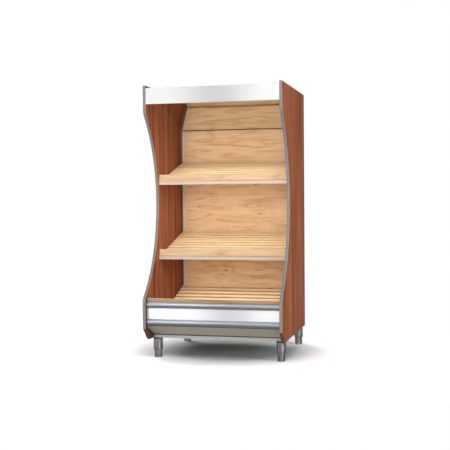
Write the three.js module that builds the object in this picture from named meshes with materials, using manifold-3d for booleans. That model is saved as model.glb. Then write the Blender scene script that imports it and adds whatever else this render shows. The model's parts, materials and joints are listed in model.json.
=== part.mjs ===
// Produce display rack: a free-standing wall rack for fruit and vegetables, in millimetres, +Z up.
// The front looks along -Y, the width runs along X, and the origin is on the floor under the middle.
// Two curved side panels carry a fascia, an inclined mirror, a back wall, two hook-hung slatted
// shelves and a sloping slatted base deck. The cabinet stands on four screw-adjustable legs.
import * as THREE from "three";
import { mergeVertices } from "three/addons/utils/BufferGeometryUtils.js";
import Module from "manifold-3d";

const wasm = await Module();
wasm.setup();

const degrees = Math.PI / 180;
const left = -1;
const right = 1;
const sides = { left, right };

// Clearances between pieces, and the overrun of every cut past the face it starts from.
const seat = 0.3;
const slide = 0.5;
const runningGap = 1.2;
const overrun = 4;

// Driving dimensions of the cabinet.
const width = 1000;
const depth = 1000;
const height = 1950;
const rackFrontY = -depth / 2;
const backY = depth / 2;

// Side panels: the front edge is one concave arc between two upright stretches.
const panel = {
  thickness: 20,
  topSetback: 52,
  bottomZ: 145,
  waistSetback: 328,
  waistShare: 0.57436,
  arcRadiusShare: 0.44205,
  filletRadius: 70,
  chamferTopZ: 231,
  chamferSetback: 91,
  arcSteps: 36,
  filletSteps: 5,
};
const innerX = width / 2 - panel.thickness;
const arcRadius = height * panel.arcRadiusShare;
const arcY = rackFrontY + panel.waistSetback - arcRadius;
const arcZ = height * panel.waistShare;

// T-moulding let into a groove along each panel's front edge.
const moulding = { face: 3, tongue: 3, tongueDepth: 9 };

// Chassis of flat box tube under the cabinet, with the floor pan on it.
const chassis = { tubeWidth: 40, tubeHeight: 20, wall: 2, undersideZ: 142, setback: 192, endGap: 2 };
const chassisFrontY = rackFrontY + chassis.setback;
const pan = { thickness: 8, setback: 4 };
const panTopZ = chassis.undersideZ + chassis.tubeHeight + seat + pan.thickness;

// Legs: a plastic flange, a steel tube and a screw foot.
const leg = {
  frontSetback: 208,
  rearSetback: 43,
  sideSetback: 45.5,
  flangeDiameter: 72,
  flangeHeight: 7,
  flangeHole: 12,
  bossDiameter: 50,
  bossHeight: 16,
  tubeDiameter: 67,
  tubeWall: 2,
  tubeFootZ: 53,
  footDiameter: 57,
  footPadHeight: 4,
  footPadStep: 1.5,
  screwDiameter: 16,
  nutHeight: 8,
  guideHeight: 34,
  rounding: 1.5,
  taper: 12,
  facets: 28,
};

// Slotted uprights: C-channels at the rear corners.
const upright = { width: 28, depth: 30, wall: 2, lip: 7, setback: 50 };
const uprightFrontY = backY - upright.setback;
const slot = {
  width: 6,
  height: 14,
  pairPitch: 64,
  positionPitch: 83.5,
  spareBelow: 3,
  spareAbove: 1,
  endSteps: 4,
};
const slotX = innerX - seat - upright.width / 2;

// Back wall and rear cover.
const backWall = { thickness: 12, setback: 45 };
const cover = { depth: 14, sheet: 1.5 };
const gland = { diameter: 20, bore: 9, length: 12, drop: 90, facets: 20 };
const glandZ = height - gland.drop;

// Roof, fascia, mirror and lamp.
const roof = { thickness: 14, underTop: 16 };
const fascia = { tall: 115, setback: 55, sheet: 2, returnDepth: 26, bend: 4, bendSteps: 4 };
const fasciaBottomZ = height - roof.underTop - fascia.tall;
const fasciaFaceY = rackFrontY + fascia.setback;
const mirror = { glass: 4, backing: 8, frontDrop: 72.3, rearDrop: 260, setback: 390 };
const mirrorRearZ = height - mirror.rearDrop;
const mirrorFrontY = rackFrontY + mirror.setback;
const mirrorSlope = Math.atan2(mirror.rearDrop - mirror.frontDrop, uprightFrontY - mirrorFrontY);
const mirrorRail = { leg: 8, wall: 2 };
const mirrorStack = mirror.glass + seat + mirror.backing;
const mirrorRearY =
  uprightFrontY - seat - (mirrorStack + seat + mirrorRail.wall) * Math.sin(mirrorSlope);
const cleat = { width: 30, gapToMirror: 0.5 };
const lamp = {
  battenWidth: 44,
  battenHeight: 24,
  battenWall: 1.5,
  endGap: 18,
  tubeDiameter: 26,
  socketLength: 16,
  socketWidth: 30,
  socketDrop: 42,
  setback: 70,
  facets: 20,
};

// Base front: a wooden board with two half-round bumpers and a white panel between them.
const baseFront = {
  setback: 43,
  thickness: 18,
  topZ: 445,
  upperBumperTopZ: 422,
  upperBumperZ: 376,
  lowerBumperTopZ: 298,
  lowerBumperZ: 250,
  bumperDepth: 22,
  bumperWall: 2,
  bumperFacets: 14,
  sheet: 1.5,
};
const baseFaceY = rackFrontY + baseFront.setback;
const toe = { topSetback: 32, footSetback: 188, footReturn: 20, sheet: 1.5 };
const toeFootY = rackFrontY + toe.footSetback;

// Slatted decks: rounded slats on bearers. The shelf decks lift out, the base deck lifts off cleats.
const slat = { width: 41, thickness: 15, pitch: 61.5, rounding: 3, roundingSteps: 3 };
const bearer = { width: 25, depth: 18, insetShare: 0.62 };
const shelf = {
  slope: 15 * degrees,
  lipSetbacks: { upper: 340, lower: 327 },
  roomShares: { upper: 0.64272, lower: 0.24236 },
  lipThickness: 19,
  lipHeight: 75,
  lipRounding: 3,
  lipRoundingSteps: 3,
  deckBelowLip: 46.5,
  frontGap: 9,
  rearGap: 12,
  sideGap: 1.5,
};
const shelfRoom = fasciaBottomZ - baseFront.topZ;
const rail = { height: 27, depth: 6, wall: 1.5, hook: 5, tilt: 1.5 };
const bracket = {
  plate: 3,
  hookNeck: 8,
  hookGap: 2.6,
  hookTooth: 4,
  hookDrop: 7,
  hookLift: 1.1,
  hookBelowDeck: 4.3,
  tabHeight: 8,
  tabReach: 6,
  heelDrop: 12,
  rearRelief: 4,
  frontTab: 24,
  frontTabHeight: 25,
  tieWidth: 20,
  tieHeight: 14,
  tieWall: 1.5,
  tieSetback: 34,
};

const baseDeck = {
  uprightGap: 8,
  rearZ: 457,
  footZ: 216.5,
  cleatWidth: 25,
  cleatDepth: 24,
};

// Finishes, with colours as the photograph shows them.
const finishes = {
  cherryLaminate: { color: 0x9a5a35, roughness: 0.45, metalness: 0 },
  lightMaple: { color: 0xe6bd8a, roughness: 0.5, metalness: 0 },
  greyMoulding: { color: 0x9d9b98, roughness: 0.4, metalness: 0.5 },
  bronzeTrim: { color: 0x604632, roughness: 0.45, metalness: 0.3 },
  whiteSheet: { color: 0xeeeeee, roughness: 0.35, metalness: 0.1 },
  whiteBoard: { color: 0xe8e6e2, roughness: 0.5, metalness: 0 },
  panBoard: { color: 0x55504a, roughness: 0.7, metalness: 0 },
  bumperMetal: { color: 0x9aa3ad, roughness: 0.3, metalness: 0.8 },
  greigeSheet: { color: 0x8c8276, roughness: 0.5, metalness: 0.2 },
  railPaint: { color: 0xb3aea8, roughness: 0.5, metalness: 0.2 },
  creamPaint: { color: 0xd6c0a8, roughness: 0.45, metalness: 0.1 },
  creamPlastic: { color: 0xead3bf, roughness: 0.35, metalness: 0 },
  mirrorGlass: { color: 0xf2f2f2, roughness: 0.03, metalness: 1 },
  mirrorBacking: { color: 0x6b5a48, roughness: 0.8, metalness: 0 },
  lampBody: { color: 0xf4f4f2, roughness: 0.4, metalness: 0.1 },
  lampGlass: { color: 0xfffaf0, roughness: 0.2, metalness: 0 },
  rearPaint: { color: 0xc9c7c3, roughness: 0.5, metalness: 0.2 },
  legSteel: { color: 0xb8bcbf, roughness: 0.15, metalness: 1 },
  blackPlastic: { color: 0x1c1c1c, roughness: 0.5, metalness: 0 },
};
const materials = Object.fromEntries(
  Object.entries(finishes).map(([name, look]) => [name, new THREE.MeshStandardMaterial({ name, ...look })]),
);

// Geometry helpers.

// Extrudes an outline drawn in (Y, Z) along X from x0 to x1.
function extrudeX(outline, x0, x1) {
  const geometry = new THREE.ExtrudeGeometry(outline, { depth: x1 - x0, bevelEnabled: false });
  const turn = new THREE.Matrix4().makeBasis(
    new THREE.Vector3(0, 1, 0),
    new THREE.Vector3(0, 0, 1),
    new THREE.Vector3(1, 0, 0),
  );
  return geometry.applyMatrix4(turn).translate(x0, 0, 0);
}

// Extrudes an outline drawn in (X, Y) along Z from z0 to z1.
function extrudeZ(outline, z0, z1) {
  const geometry = new THREE.ExtrudeGeometry(outline, { depth: z1 - z0, bevelEnabled: false });
  return geometry.translate(0, 0, z0);
}

// Extrudes an outline drawn in (X, Z) along Y from y0 to y1.
function extrudeY(outline, y0, y1) {
  const geometry = new THREE.ExtrudeGeometry(outline, { depth: y1 - y0, bevelEnabled: false });
  return geometry.rotateX(Math.PI / 2).translate(0, y1, 0);
}

// A block between two corners.
function block(x0, x1, y0, y1, z0, z1) {
  const geometry = new THREE.BoxGeometry(x1 - x0, y1 - y0, z1 - z0);
  return geometry.translate((x0 + x1) / 2, (y0 + y1) / 2, (z0 + z1) / 2);
}

// A body of revolution about +Z from (radius, height) pairs that start and end on the axis.
function turned(profile, facets) {
  const points = profile.map(([radius, z]) => new THREE.Vector2(radius, z));
  return new THREE.LatheGeometry(points, facets).rotateX(Math.PI / 2);
}

// A closed outline from points, with an optional hole.
function outlineOf(points, hole) {
  const outline = new THREE.Shape(points.map(([u, v]) => new THREE.Vector2(u, v)));
  if (hole) outline.holes.push(new THREE.Path(hole.map(([u, v]) => new THREE.Vector2(u, v))));
  return outline;
}

// The outline of a sheet of even thickness, folded along a path, with the thickness on its left.
function bentSheet(path, thickness) {
  const directions = path.slice(1).map(([u, v], i) => {
    const run = u - path[i][0];
    const rise = v - path[i][1];
    const length = Math.hypot(run, rise);
    return [run / length, rise / length];
  });
  const inner = path.map(([u, v], i) => {
    const [au, av] = directions[Math.max(i - 1, 0)];
    const [bu, bv] = directions[Math.min(i, directions.length - 1)];
    const reach = thickness / (1 + au * bu + av * bv);
    return [u - (av + bv) * reach, v + (au + bu) * reach];
  });
  return outlineOf([...path, ...inner.reverse()]);
}

function rectangle(u0, u1, v0, v1) {
  return [[u0, v0], [u1, v0], [u1, v1], [u0, v1]];
}

// Points along an arc, both ends included.
function arc(u, v, radius, from, to, steps) {
  return Array.from({ length: steps + 1 }, (_, i) => {
    const angle = from + ((to - from) * i) / steps;
    return [u + radius * Math.cos(angle), v + radius * Math.sin(angle)];
  });
}

// A rectangle whose two upper corners are rounded.
function roundTopRectangle(u0, u1, v0, v1, radius, steps) {
  return [
    [u0, v0],
    [u1, v0],
    ...arc(u1 - radius, v1 - radius, radius, 0, Math.PI / 2, steps),
    ...arc(u0 + radius, v1 - radius, radius, Math.PI / 2, Math.PI, steps),
  ];
}

// Closed geometry as a solid that can be joined and cut.
function solid(geometry) {
  const bare = geometry.clone();
  bare.deleteAttribute("normal");
  bare.deleteAttribute("uv");
  const merged = mergeVertices(bare, 1e-4);
  return new wasm.Manifold(
    new wasm.Mesh({
      numProp: 3,
      vertProperties: merged.attributes.position.array,
      triVerts: new Uint32Array(merged.index.array),
    }),
  );
}

function geometryOf(made) {
  const mesh = made.getMesh();
  const geometry = new THREE.BufferGeometry();
  geometry.setAttribute("position", new THREE.BufferAttribute(mesh.vertProperties, 3));
  geometry.setIndex(new THREE.BufferAttribute(mesh.triVerts, 1));
  geometry.computeVertexNormals();
  return geometry;
}

function join(geometries) {
  return geometryOf(geometries.map(solid).reduce((a, b) => a.add(b)));
}

function cut(geometry, tools) {
  return geometryOf(tools.map(solid).reduce((a, b) => a.subtract(b), solid(geometry)));
}

function piece(name, geometry, material) {
  const mesh = new THREE.Mesh(geometry, material);
  mesh.name = name;
  return mesh;
}

// The front edge of a side panel, moved inwards by an offset, from the top down.
function frontEdge(offset) {
  const { topSetback, filletRadius, arcSteps, filletSteps } = panel;
  const topFrontY = rackFrontY + topSetback;
  const reach = arcRadius + filletRadius;
  const fillet = (faceY) => {
    const y = faceY + filletRadius;
    const rise = Math.sqrt(reach * reach - (y - arcY) ** 2);
    return { y, rise, angle: Math.atan2(rise, y - arcY) };
  };
  const top = fillet(topFrontY);
  const base = fillet(rackFrontY);
  const small = filletRadius - offset;
  const topFillet = arc(top.y, arcZ + top.rise, small, Math.PI, Math.PI + top.angle, filletSteps);
  const concave = arc(arcY, arcZ, arcRadius + offset, top.angle, -base.angle, arcSteps);
  const baseFillet = arc(base.y, arcZ - base.rise, small, Math.PI - base.angle, Math.PI, filletSteps);
  return [
    [topFrontY + offset, height],
    ...topFillet,
    ...concave.slice(1, -1),
    ...baseFillet,
    ...chamferPoints(offset),
  ];
}

// The two corners of the chamfer under the base, moved inwards by an offset.
function chamferPoints(offset) {
  const { bottomZ, chamferTopZ, chamferSetback: run } = panel;
  const drop = chamferTopZ - bottomZ;
  const length = Math.hypot(run, drop);
  const normalY = drop / length;
  const normalZ = run / length;
  return [
    [rackFrontY + offset, chamferTopZ + (offset * (1 - normalY)) / normalZ],
    [rackFrontY + (offset + drop * normalZ) / normalY, bottomZ],
  ];
}

// The closed band between two offsets of the front edge.
function edgeBand(outer, inner) {
  return outlineOf([...frontEdge(outer), ...frontEdge(inner).reverse()]);
}

function sidePanel(side) {
  const { thickness, bottomZ } = panel;
  const middleX = side * (width / 2 - thickness / 2);
  const board = [...frontEdge(moulding.face + seat), [backY, bottomZ], [backY, height]];
  const body = extrudeX(outlineOf(board), middleX - thickness / 2, middleX + thickness / 2);
  const grooveHalf = moulding.tongue / 2 + seat;
  const grooveDepth = moulding.face + moulding.tongueDepth + slide;
  const groove = extrudeX(edgeBand(0, grooveDepth), middleX - grooveHalf, middleX + grooveHalf);
  return cut(body, [groove]);
}

function edgeMoulding(side) {
  const middleX = side * (width / 2 - panel.thickness / 2);
  const halfFace = panel.thickness / 2;
  const halfTongue = moulding.tongue / 2;
  const { face, tongueDepth } = moulding;
  return join([
    extrudeX(edgeBand(0, face), middleX - halfFace, middleX + halfFace),
    extrudeX(edgeBand(face / 2, face + tongueDepth), middleX - halfTongue, middleX + halfTongue),
  ]);
}

// Chassis rails are box tubes, open at their ends.
function chassisRails() {
  const { tubeWidth, tubeHeight, wall, undersideZ, endGap } = chassis;
  const frontY = chassisFrontY;
  const outerX = innerX - seat;
  const rearY = backY - endGap;
  const tube = (u0, u1) =>
    outlineOf(
      rectangle(u0, u1, undersideZ, undersideZ + tubeHeight),
      rectangle(u0 + wall, u1 - wall, undersideZ + wall, undersideZ + tubeHeight - wall),
    );
  const crossX = outerX - tubeWidth - seat;
  const railPiece = (name, geometry) => piece("frame_rail_" + name, geometry, materials.railPaint);
  return [
    railPiece("front", extrudeX(tube(frontY, frontY + tubeWidth), -crossX, crossX)),
    railPiece("rear", extrudeX(tube(rearY - tubeWidth, rearY), -crossX, crossX)),
    railPiece("left", extrudeY(tube(-outerX, -outerX + tubeWidth), frontY, rearY)),
    railPiece("right", extrudeY(tube(outerX - tubeWidth, outerX), frontY, rearY)),
  ];
}

function basePan() {
  const top = panTopZ;
  const halfWidth = innerX - seat;
  const front = chassisFrontY + pan.setback;
  const rear = backY - chassis.endGap;
  return block(-halfWidth, halfWidth, front, rear, top - pan.thickness, top);
}

// One leg: the flange screws to the chassis, the tube hangs on its boss, the foot screws out below.
function legPieces(name, x, y) {
  const topZ = chassis.undersideZ - seat;
  const flangeZ = topZ - leg.flangeHeight;
  const tubeTopZ = flangeZ - seat;
  const bossR = leg.bossDiameter / 2;
  const holeR = leg.flangeHole / 2;
  const flangeR = leg.flangeDiameter / 2;
  const flange = turned(
    [
      [holeR, flangeZ - leg.bossHeight],
      [bossR, flangeZ - leg.bossHeight],
      [bossR, flangeZ],
      [flangeR - leg.rounding, flangeZ],
      [flangeR, flangeZ + leg.rounding],
      [flangeR, topZ],
      [holeR, topZ],
      [holeR, flangeZ - leg.bossHeight],
    ],
    leg.facets,
  );
  const tubeR = leg.tubeDiameter / 2;
  const boreR = tubeR - leg.tubeWall;
  const nutR = leg.screwDiameter / 2 + slide;
  const tube = turned(
    [
      [nutR, leg.tubeFootZ],
      [leg.footDiameter / 2, leg.tubeFootZ],
      [tubeR, leg.tubeFootZ + leg.taper],
      [tubeR, tubeTopZ],
      [boreR, tubeTopZ],
      [boreR, leg.tubeFootZ + leg.nutHeight],
      [nutR, leg.tubeFootZ + leg.nutHeight],
      [nutR, leg.tubeFootZ],
    ],
    leg.facets,
  );
  const footR = leg.footDiameter / 2;
  const footTopZ = leg.tubeFootZ - seat;
  const screwR = leg.screwDiameter / 2;
  const screwTopZ = leg.tubeFootZ + leg.nutHeight + leg.guideHeight;
  const foot = turned(
    [
      [0, 0],
      [footR - leg.footPadStep, 0],
      [footR, leg.footPadStep],
      [footR, leg.footPadHeight],
      [footR - leg.footPadStep, leg.footPadHeight],
      [footR - leg.footPadStep, footTopZ],
      [screwR, footTopZ],
      [screwR, screwTopZ],
      [0, screwTopZ],
    ],
    leg.facets,
  );
  const group = new THREE.Group();
  group.position.set(x, y, 0);
  group.add(
    piece("leg_flange_" + name, flange, materials.blackPlastic),
    piece("leg_tube_" + name, tube, materials.legSteel),
    piece("leg_foot_" + name, foot, materials.legSteel),
  );
  return group;
}

// Heights of the slots' lower ends, from the shelves that hang in them.
function hookSlotZ(shelfName) {
  return deckLineZ(shelfName, uprightFrontY) - bracket.hookBelowDeck - slot.height / 2;
}

function slotHeights() {
  const used = hookSlotZ("upper");
  const positions = [];
  for (let i = -slot.spareBelow; i <= slot.spareAbove; i += 1) positions.push(used + i * slot.positionPitch);
  positions.push(hookSlotZ("lower"));
  return positions.flatMap((z) => [z, z - slot.pairPitch]);
}

function uprightChannel(side) {
  const { width: face, depth: channelDepth, wall, lip } = upright;
  const frontY = uprightFrontY;
  const middleX = side * slotX;
  const x0 = middleX - face / 2;
  const x1 = middleX + face / 2;
  const rearY = frontY + channelDepth;
  const section = outlineOf([
    [x0, frontY],
    [x1, frontY],
    [x1, rearY],
    [x1 - lip, rearY],
    [x1 - lip, rearY - wall],
    [x1 - wall, rearY - wall],
    [x1 - wall, frontY + wall],
    [x0 + wall, frontY + wall],
    [x0 + wall, rearY - wall],
    [x0 + lip, rearY - wall],
    [x0 + lip, rearY],
    [x0, rearY],
  ]);
  const topZ = height - roof.underTop - roof.thickness - seat;
  const channel = extrudeZ(section, panTopZ + seat, topZ);
  const end = slot.width / 2;
  const tools = slotHeights().map((z) => {
    const slotOutline = outlineOf([
      ...arc(middleX, z + end, end, Math.PI, 2 * Math.PI, slot.endSteps),
      ...arc(middleX, z + slot.height - end, end, 0, Math.PI, slot.endSteps),
    ]);
    return extrudeY(slotOutline, frontY - overrun, frontY + wall + overrun / 2);
  });
  return cut(channel, tools);
}

function backPanel() {
  const halfWidth = slotX - upright.width / 2 - seat;
  const topZ = height - roof.underTop - roof.thickness - seat;
  const faceY = backY - backWall.setback;
  return block(-halfWidth, halfWidth, faceY, faceY + backWall.thickness, panTopZ + seat, topZ);
}

// The rear cover is a shallow pan whose folded edges point forwards.
function rearCover() {
  const { sheet } = cover;
  const halfWidth = innerX - seat;
  const bottomZ = panTopZ + seat;
  const topZ = height - roof.underTop - roof.thickness - seat;
  const frontY = backY - cover.depth;
  const shell = cut(block(-halfWidth, halfWidth, frontY, backY, bottomZ, topZ), [
    block(
      -halfWidth + sheet,
      halfWidth - sheet,
      frontY - overrun,
      backY - sheet,
      bottomZ + sheet,
      topZ - sheet,
    ),
  ]);
  const holeR = gland.diameter / 2 + seat;
  const hole = new THREE.CylinderGeometry(holeR, holeR, sheet + 2 * overrun, gland.facets);
  hole.translate(0, backY - sheet / 2, glandZ);
  return cut(shell, [hole]);
}

// A cable gland in the rear cover, with its bore.
function cableGland() {
  const outerR = gland.diameter / 2;
  const boreR = gland.bore / 2;
  const body = turned(
    [
      [boreR, -gland.length],
      [outerR, -gland.length],
      [outerR, 0],
      [boreR, 0],
      [boreR, -gland.length],
    ],
    gland.facets,
  );
  return body.rotateX(-Math.PI / 2).translate(0, backY, glandZ);
}

function roofPanel() {
  const topZ = height - roof.underTop;
  const halfWidth = innerX - seat;
  const frontY = fasciaFaceY + fascia.returnDepth + seat;
  return block(-halfWidth, halfWidth, frontY, backY - chassis.endGap, topZ - roof.thickness, topZ);
}

// The fascia is one bent sheet: a flat face with a return at the top and at the bottom.
function fasciaPanel() {
  const { sheet, returnDepth, bend, bendSteps } = fascia;
  const faceY = fasciaFaceY;
  const bottomZ = fasciaBottomZ;
  const topZ = height - roof.underTop;
  const rearY = faceY + returnDepth;
  const quarter = Math.PI / 2;
  const inner = bend - sheet;
  const outline = outlineOf([
    [rearY, bottomZ],
    [rearY, bottomZ + sheet],
    ...arc(faceY + bend, bottomZ + bend, inner, 3 * quarter, 2 * quarter, bendSteps),
    ...arc(faceY + bend, topZ - bend, inner, 2 * quarter, quarter, bendSteps),
    [rearY, topZ - sheet],
    [rearY, topZ],
    ...arc(faceY + bend, topZ - bend, bend, quarter, 2 * quarter, bendSteps),
    ...arc(faceY + bend, bottomZ + bend, bend, 2 * quarter, 3 * quarter, bendSteps),
  ]);
  return extrudeX(outline, -innerX + seat, innerX - seat);
}

// The mirror and all that holds it are drawn in a group that slopes with the glass.
function mirrorGroup() {
  const group = new THREE.Group();
  group.position.set(0, mirrorRearY, mirrorRearZ);
  group.rotation.x = -mirrorSlope;
  const halfWidth = innerX - seat;
  const length = (mirrorRearY - mirrorFrontY) / Math.cos(mirrorSlope);
  const start = mirrorRail.wall + seat;
  const glassTop = mirror.glass;
  group.add(
    piece("mirror_panel", block(-halfWidth, halfWidth, -length, -start, 0, glassTop), materials.mirrorGlass),
    piece(
      "mirror_backing",
      block(-halfWidth, halfWidth, -length, -start, glassTop + seat, mirrorStack),
      materials.mirrorBacking,
    ),
    piece("mirror_rail", rearMirrorRail(halfWidth, mirrorStack), materials.bronzeTrim),
  );
  return group;
}

// A J-rail that holds the rear edge of the glass and its backing.
function rearMirrorRail(halfWidth, stackTop) {
  const { leg: reach, wall } = mirrorRail;
  const outline = outlineOf([
    [-reach, -seat - wall],
    [0, -seat - wall],
    [0, stackTop + seat + wall],
    [-reach, stackTop + seat + wall],
    [-reach, stackTop + seat],
    [-wall, stackTop + seat],
    [-wall, -seat],
    [-reach, -seat],
  ]);
  return extrudeX(outline, -halfWidth, halfWidth);
}

// A wedge under the roof, which the front of the mirror is fixed to.
function mirrorCleat() {
  const underRoofZ = height - roof.underTop - roof.thickness - seat;
  const stack = mirrorStack + cleat.gapToMirror;
  const surfaceZ = (y) =>
    mirrorRearZ + (mirrorRearY - y) * Math.tan(mirrorSlope) + stack / Math.cos(mirrorSlope);
  const frontY = mirrorFrontY;
  const rearY = frontY + cleat.width;
  const outline = outlineOf([
    [frontY, surfaceZ(frontY)],
    [rearY, surfaceZ(rearY)],
    [rearY, underRoofZ],
    [frontY, underRoofZ],
  ]);
  return extrudeX(outline, -innerX + cleat.width, innerX - cleat.width);
}

// A batten light under the roof, behind the fascia: body, two sockets and a tube.
function lampGroup() {
  const group = new THREE.Group();
  const topZ = height - roof.underTop - roof.thickness - seat;
  group.position.set(0, fasciaFaceY + lamp.setback, topZ);
  const halfLength = innerX - lamp.endGap;
  const halfBody = lamp.battenWidth / 2;
  const { battenHeight, battenWall, socketLength, socketWidth, socketDrop } = lamp;
  const body = outlineOf(
    rectangle(-halfBody, halfBody, -battenHeight, 0),
    rectangle(-halfBody + battenWall, halfBody - battenWall, -battenHeight + battenWall, -battenWall),
  );
  group.add(piece("lamp_batten", extrudeX(body, -halfLength, halfLength), materials.lampBody));
  const radius = lamp.tubeDiameter / 2;
  const tubeZ = -battenHeight - socketDrop + radius + socketLength / 2;
  for (const [name, side] of Object.entries(sides)) {
    const outer = side * halfLength;
    const inner = side * (halfLength - socketLength);
    const x0 = Math.min(outer, inner);
    const x1 = Math.max(outer, inner);
    const topEdge = -battenHeight - seat;
    const outline = outlineOf([
      ...arc(0, tubeZ, socketWidth / 2, Math.PI, 2 * Math.PI, lamp.facets / 2),
      [socketWidth / 2, topEdge],
      [-socketWidth / 2, topEdge],
    ]);
    group.add(piece("lamp_socket_" + name, extrudeX(outline, x0, x1), materials.lampBody));
  }
  const reach = halfLength - socketLength - seat;
  const tube = new THREE.CylinderGeometry(radius, radius, 2 * reach, lamp.facets);
  tube.rotateZ(Math.PI / 2).translate(0, 0, tubeZ);
  group.add(piece("lamp_tube", tube, materials.lampGlass));
  return group;
}

// The front face of a shelf's lip.
function lipFrontY(shelfName) {
  return rackFrontY + shelf.lipSetbacks[shelfName];
}

// The height of a shelf's lip, from its share of the room between the base and the fascia.
function lipTopZ(shelfName) {
  return baseFront.topZ + shelf.roomShares[shelfName] * shelfRoom;
}

// The height of a shelf's deck at a given Y, measured up its slope from the lip.
function deckLineZ(shelfName, y) {
  const lipBackY = lipFrontY(shelfName) + shelf.lipThickness;
  return lipTopZ(shelfName) - shelf.deckBelowLip + (y - lipBackY) * Math.tan(shelf.slope);
}

// A deck of slats along X on bearers, in its own sloping frame: y runs up the slope, z off the deck.
function slattedDeck(length, halfWidth) {
  const gaps = Math.round((length - slat.width) / slat.pitch);
  const pitch = (length - slat.width) / gaps;
  const { thickness, rounding, roundingSteps } = slat;
  const slats = Array.from({ length: gaps + 1 }, (_, i) => {
    const y0 = i * pitch;
    const outline = outlineOf(
      roundTopRectangle(y0, y0 + slat.width, -thickness, 0, rounding, roundingSteps),
    );
    return extrudeX(outline, -halfWidth, halfWidth);
  });
  const bearers = [left, 0, right].map((side) => {
    const x = side * halfWidth * bearer.insetShare;
    const half = bearer.width / 2;
    return block(
      x - half,
      x + half,
      slat.rounding,
      length - slat.rounding,
      -thickness - bearer.depth,
      -thickness + slat.rounding,
    );
  });
  return join([...slats, ...bearers]);
}

// One shelf: two hook brackets, a tie, a lip board, a price rail and the lift-out deck.
function shelfGroup(name) {
  const group = new THREE.Group();
  const lipFront = lipFrontY(name);
  const lipBack = lipFront + shelf.lipThickness;
  const lipTop = lipTopZ(name);
  const lipBottom = lipTop - shelf.lipHeight;
  const halfWidth = innerX - shelf.sideGap;
  const deckFrontY = lipBack + shelf.frontGap;
  const deckRearY = uprightFrontY - shelf.rearGap;
  const deckLength = (deckRearY - deckFrontY) / Math.cos(shelf.slope);

  const deckFrame = new THREE.Group();
  deckFrame.position.set(0, deckFrontY, deckLineZ(name, deckFrontY));
  deckFrame.rotation.x = shelf.slope;
  const deck = slattedDeck(deckLength, halfWidth - shelf.sideGap);
  deckFrame.add(piece(name + "_grille", deck, materials.lightMaple));

  const lip = outlineOf(
    roundTopRectangle(lipFront, lipBack, lipBottom, lipTop, shelf.lipRounding, shelf.lipRoundingSteps),
  );
  group.add(
    deckFrame,
    piece(name + "_lip_board", extrudeX(lip, -halfWidth, halfWidth), materials.lightMaple),
    piece(name + "_price_rail", priceRail(lipFront, lipBottom, halfWidth), materials.creamPlastic),
  );
  for (const [sideName, side] of Object.entries(sides)) {
    group.add(piece(name + "_bracket_" + sideName, shelfBracket(name, side), materials.creamPaint));
  }
  group.add(piece(name + "_tie", shelfTie(name), materials.creamPaint));
  return group;
}

// The price rail is a C-section open to the front, which holds a label strip.
function priceRail(lipFront, lipBottom, halfWidth) {
  const { height: tall, depth, wall, hook, tilt } = rail;
  const rear = lipFront - seat;
  const front = rear - depth;
  const topZ = lipBottom + tall;
  const outline = outlineOf([
    [rear, lipBottom],
    [rear, topZ],
    [front + tilt, topZ],
    [front + tilt, topZ - hook],
    [front + tilt + wall, topZ - hook],
    [front + tilt + wall, topZ - wall],
    [rear - wall, topZ - wall],
    [rear - wall - tilt, lipBottom + wall],
    [front + wall, lipBottom + wall],
    [front + wall, lipBottom + hook],
    [front, lipBottom + hook],
    [front, lipBottom],
  ]);
  return extrudeX(outline, -halfWidth, halfWidth);
}

// The line that the slats' undersides lie on, with a gap, at a given Y.
function slatUndersideZ(name, y) {
  return deckLineZ(name, y) - (slat.thickness + slide) / Math.cos(shelf.slope);
}

// A tapered bracket plate with a hook and a tab at its rear, and a screw tab behind the lip board.
function shelfBracket(name, side) {
  const lipBack = lipFrontY(name) + shelf.lipThickness + seat;
  const lipBottom = lipTopZ(name) - shelf.lipHeight;
  const wallFront = uprightFrontY;
  const wallBack = wallFront + upright.wall;
  const rear = wallFront - slide;
  const slotZ = hookSlotZ(name);
  const neckZ = slotZ + bracket.hookLift;
  const neckTopZ = neckZ + bracket.hookNeck;
  const toothY = wallBack + bracket.hookGap;
  const tabZ = slotZ - slot.pairPitch + (slot.height - bracket.tabHeight) / 2;
  const shoulderZ = neckTopZ - bracket.rearRelief / 2;
  const tabEnd = wallFront + bracket.tabReach;
  const topRearY = uprightFrontY - shelf.rearGap + slat.thickness * Math.sin(shelf.slope) + runningGap;
  const plate = outlineOf([
    [lipBack, lipBottom],
    [lipBack, slatUndersideZ(name, lipBack)],
    [topRearY, slatUndersideZ(name, topRearY)],
    [rear - bracket.rearRelief, shoulderZ],
    [rear, neckTopZ - bracket.rearRelief],
    [toothY + bracket.hookTooth, neckTopZ - bracket.rearRelief],
    [toothY + bracket.hookTooth, neckZ - bracket.hookDrop],
    [toothY, neckZ - bracket.hookDrop],
    [toothY, neckZ],
    [rear, neckZ],
    [rear, tabZ + bracket.tabHeight],
    [tabEnd, tabZ + bracket.tabHeight - bracket.tabReach / 2],
    [tabEnd, tabZ],
    [rear, tabZ],
    [rear, tabZ - bracket.heelDrop],
  ]);
  const half = bracket.plate / 2;
  const x = side * slotX;
  const tabX = x - side * bracket.frontTab;
  return join([
    extrudeX(plate, x - half, x + half),
    block(
      Math.min(x - half, tabX),
      Math.max(x + half, tabX),
      lipBack,
      lipBack + bracket.plate,
      lipBottom,
      lipBottom + bracket.frontTabHeight,
    ),
  ]);
}

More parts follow.
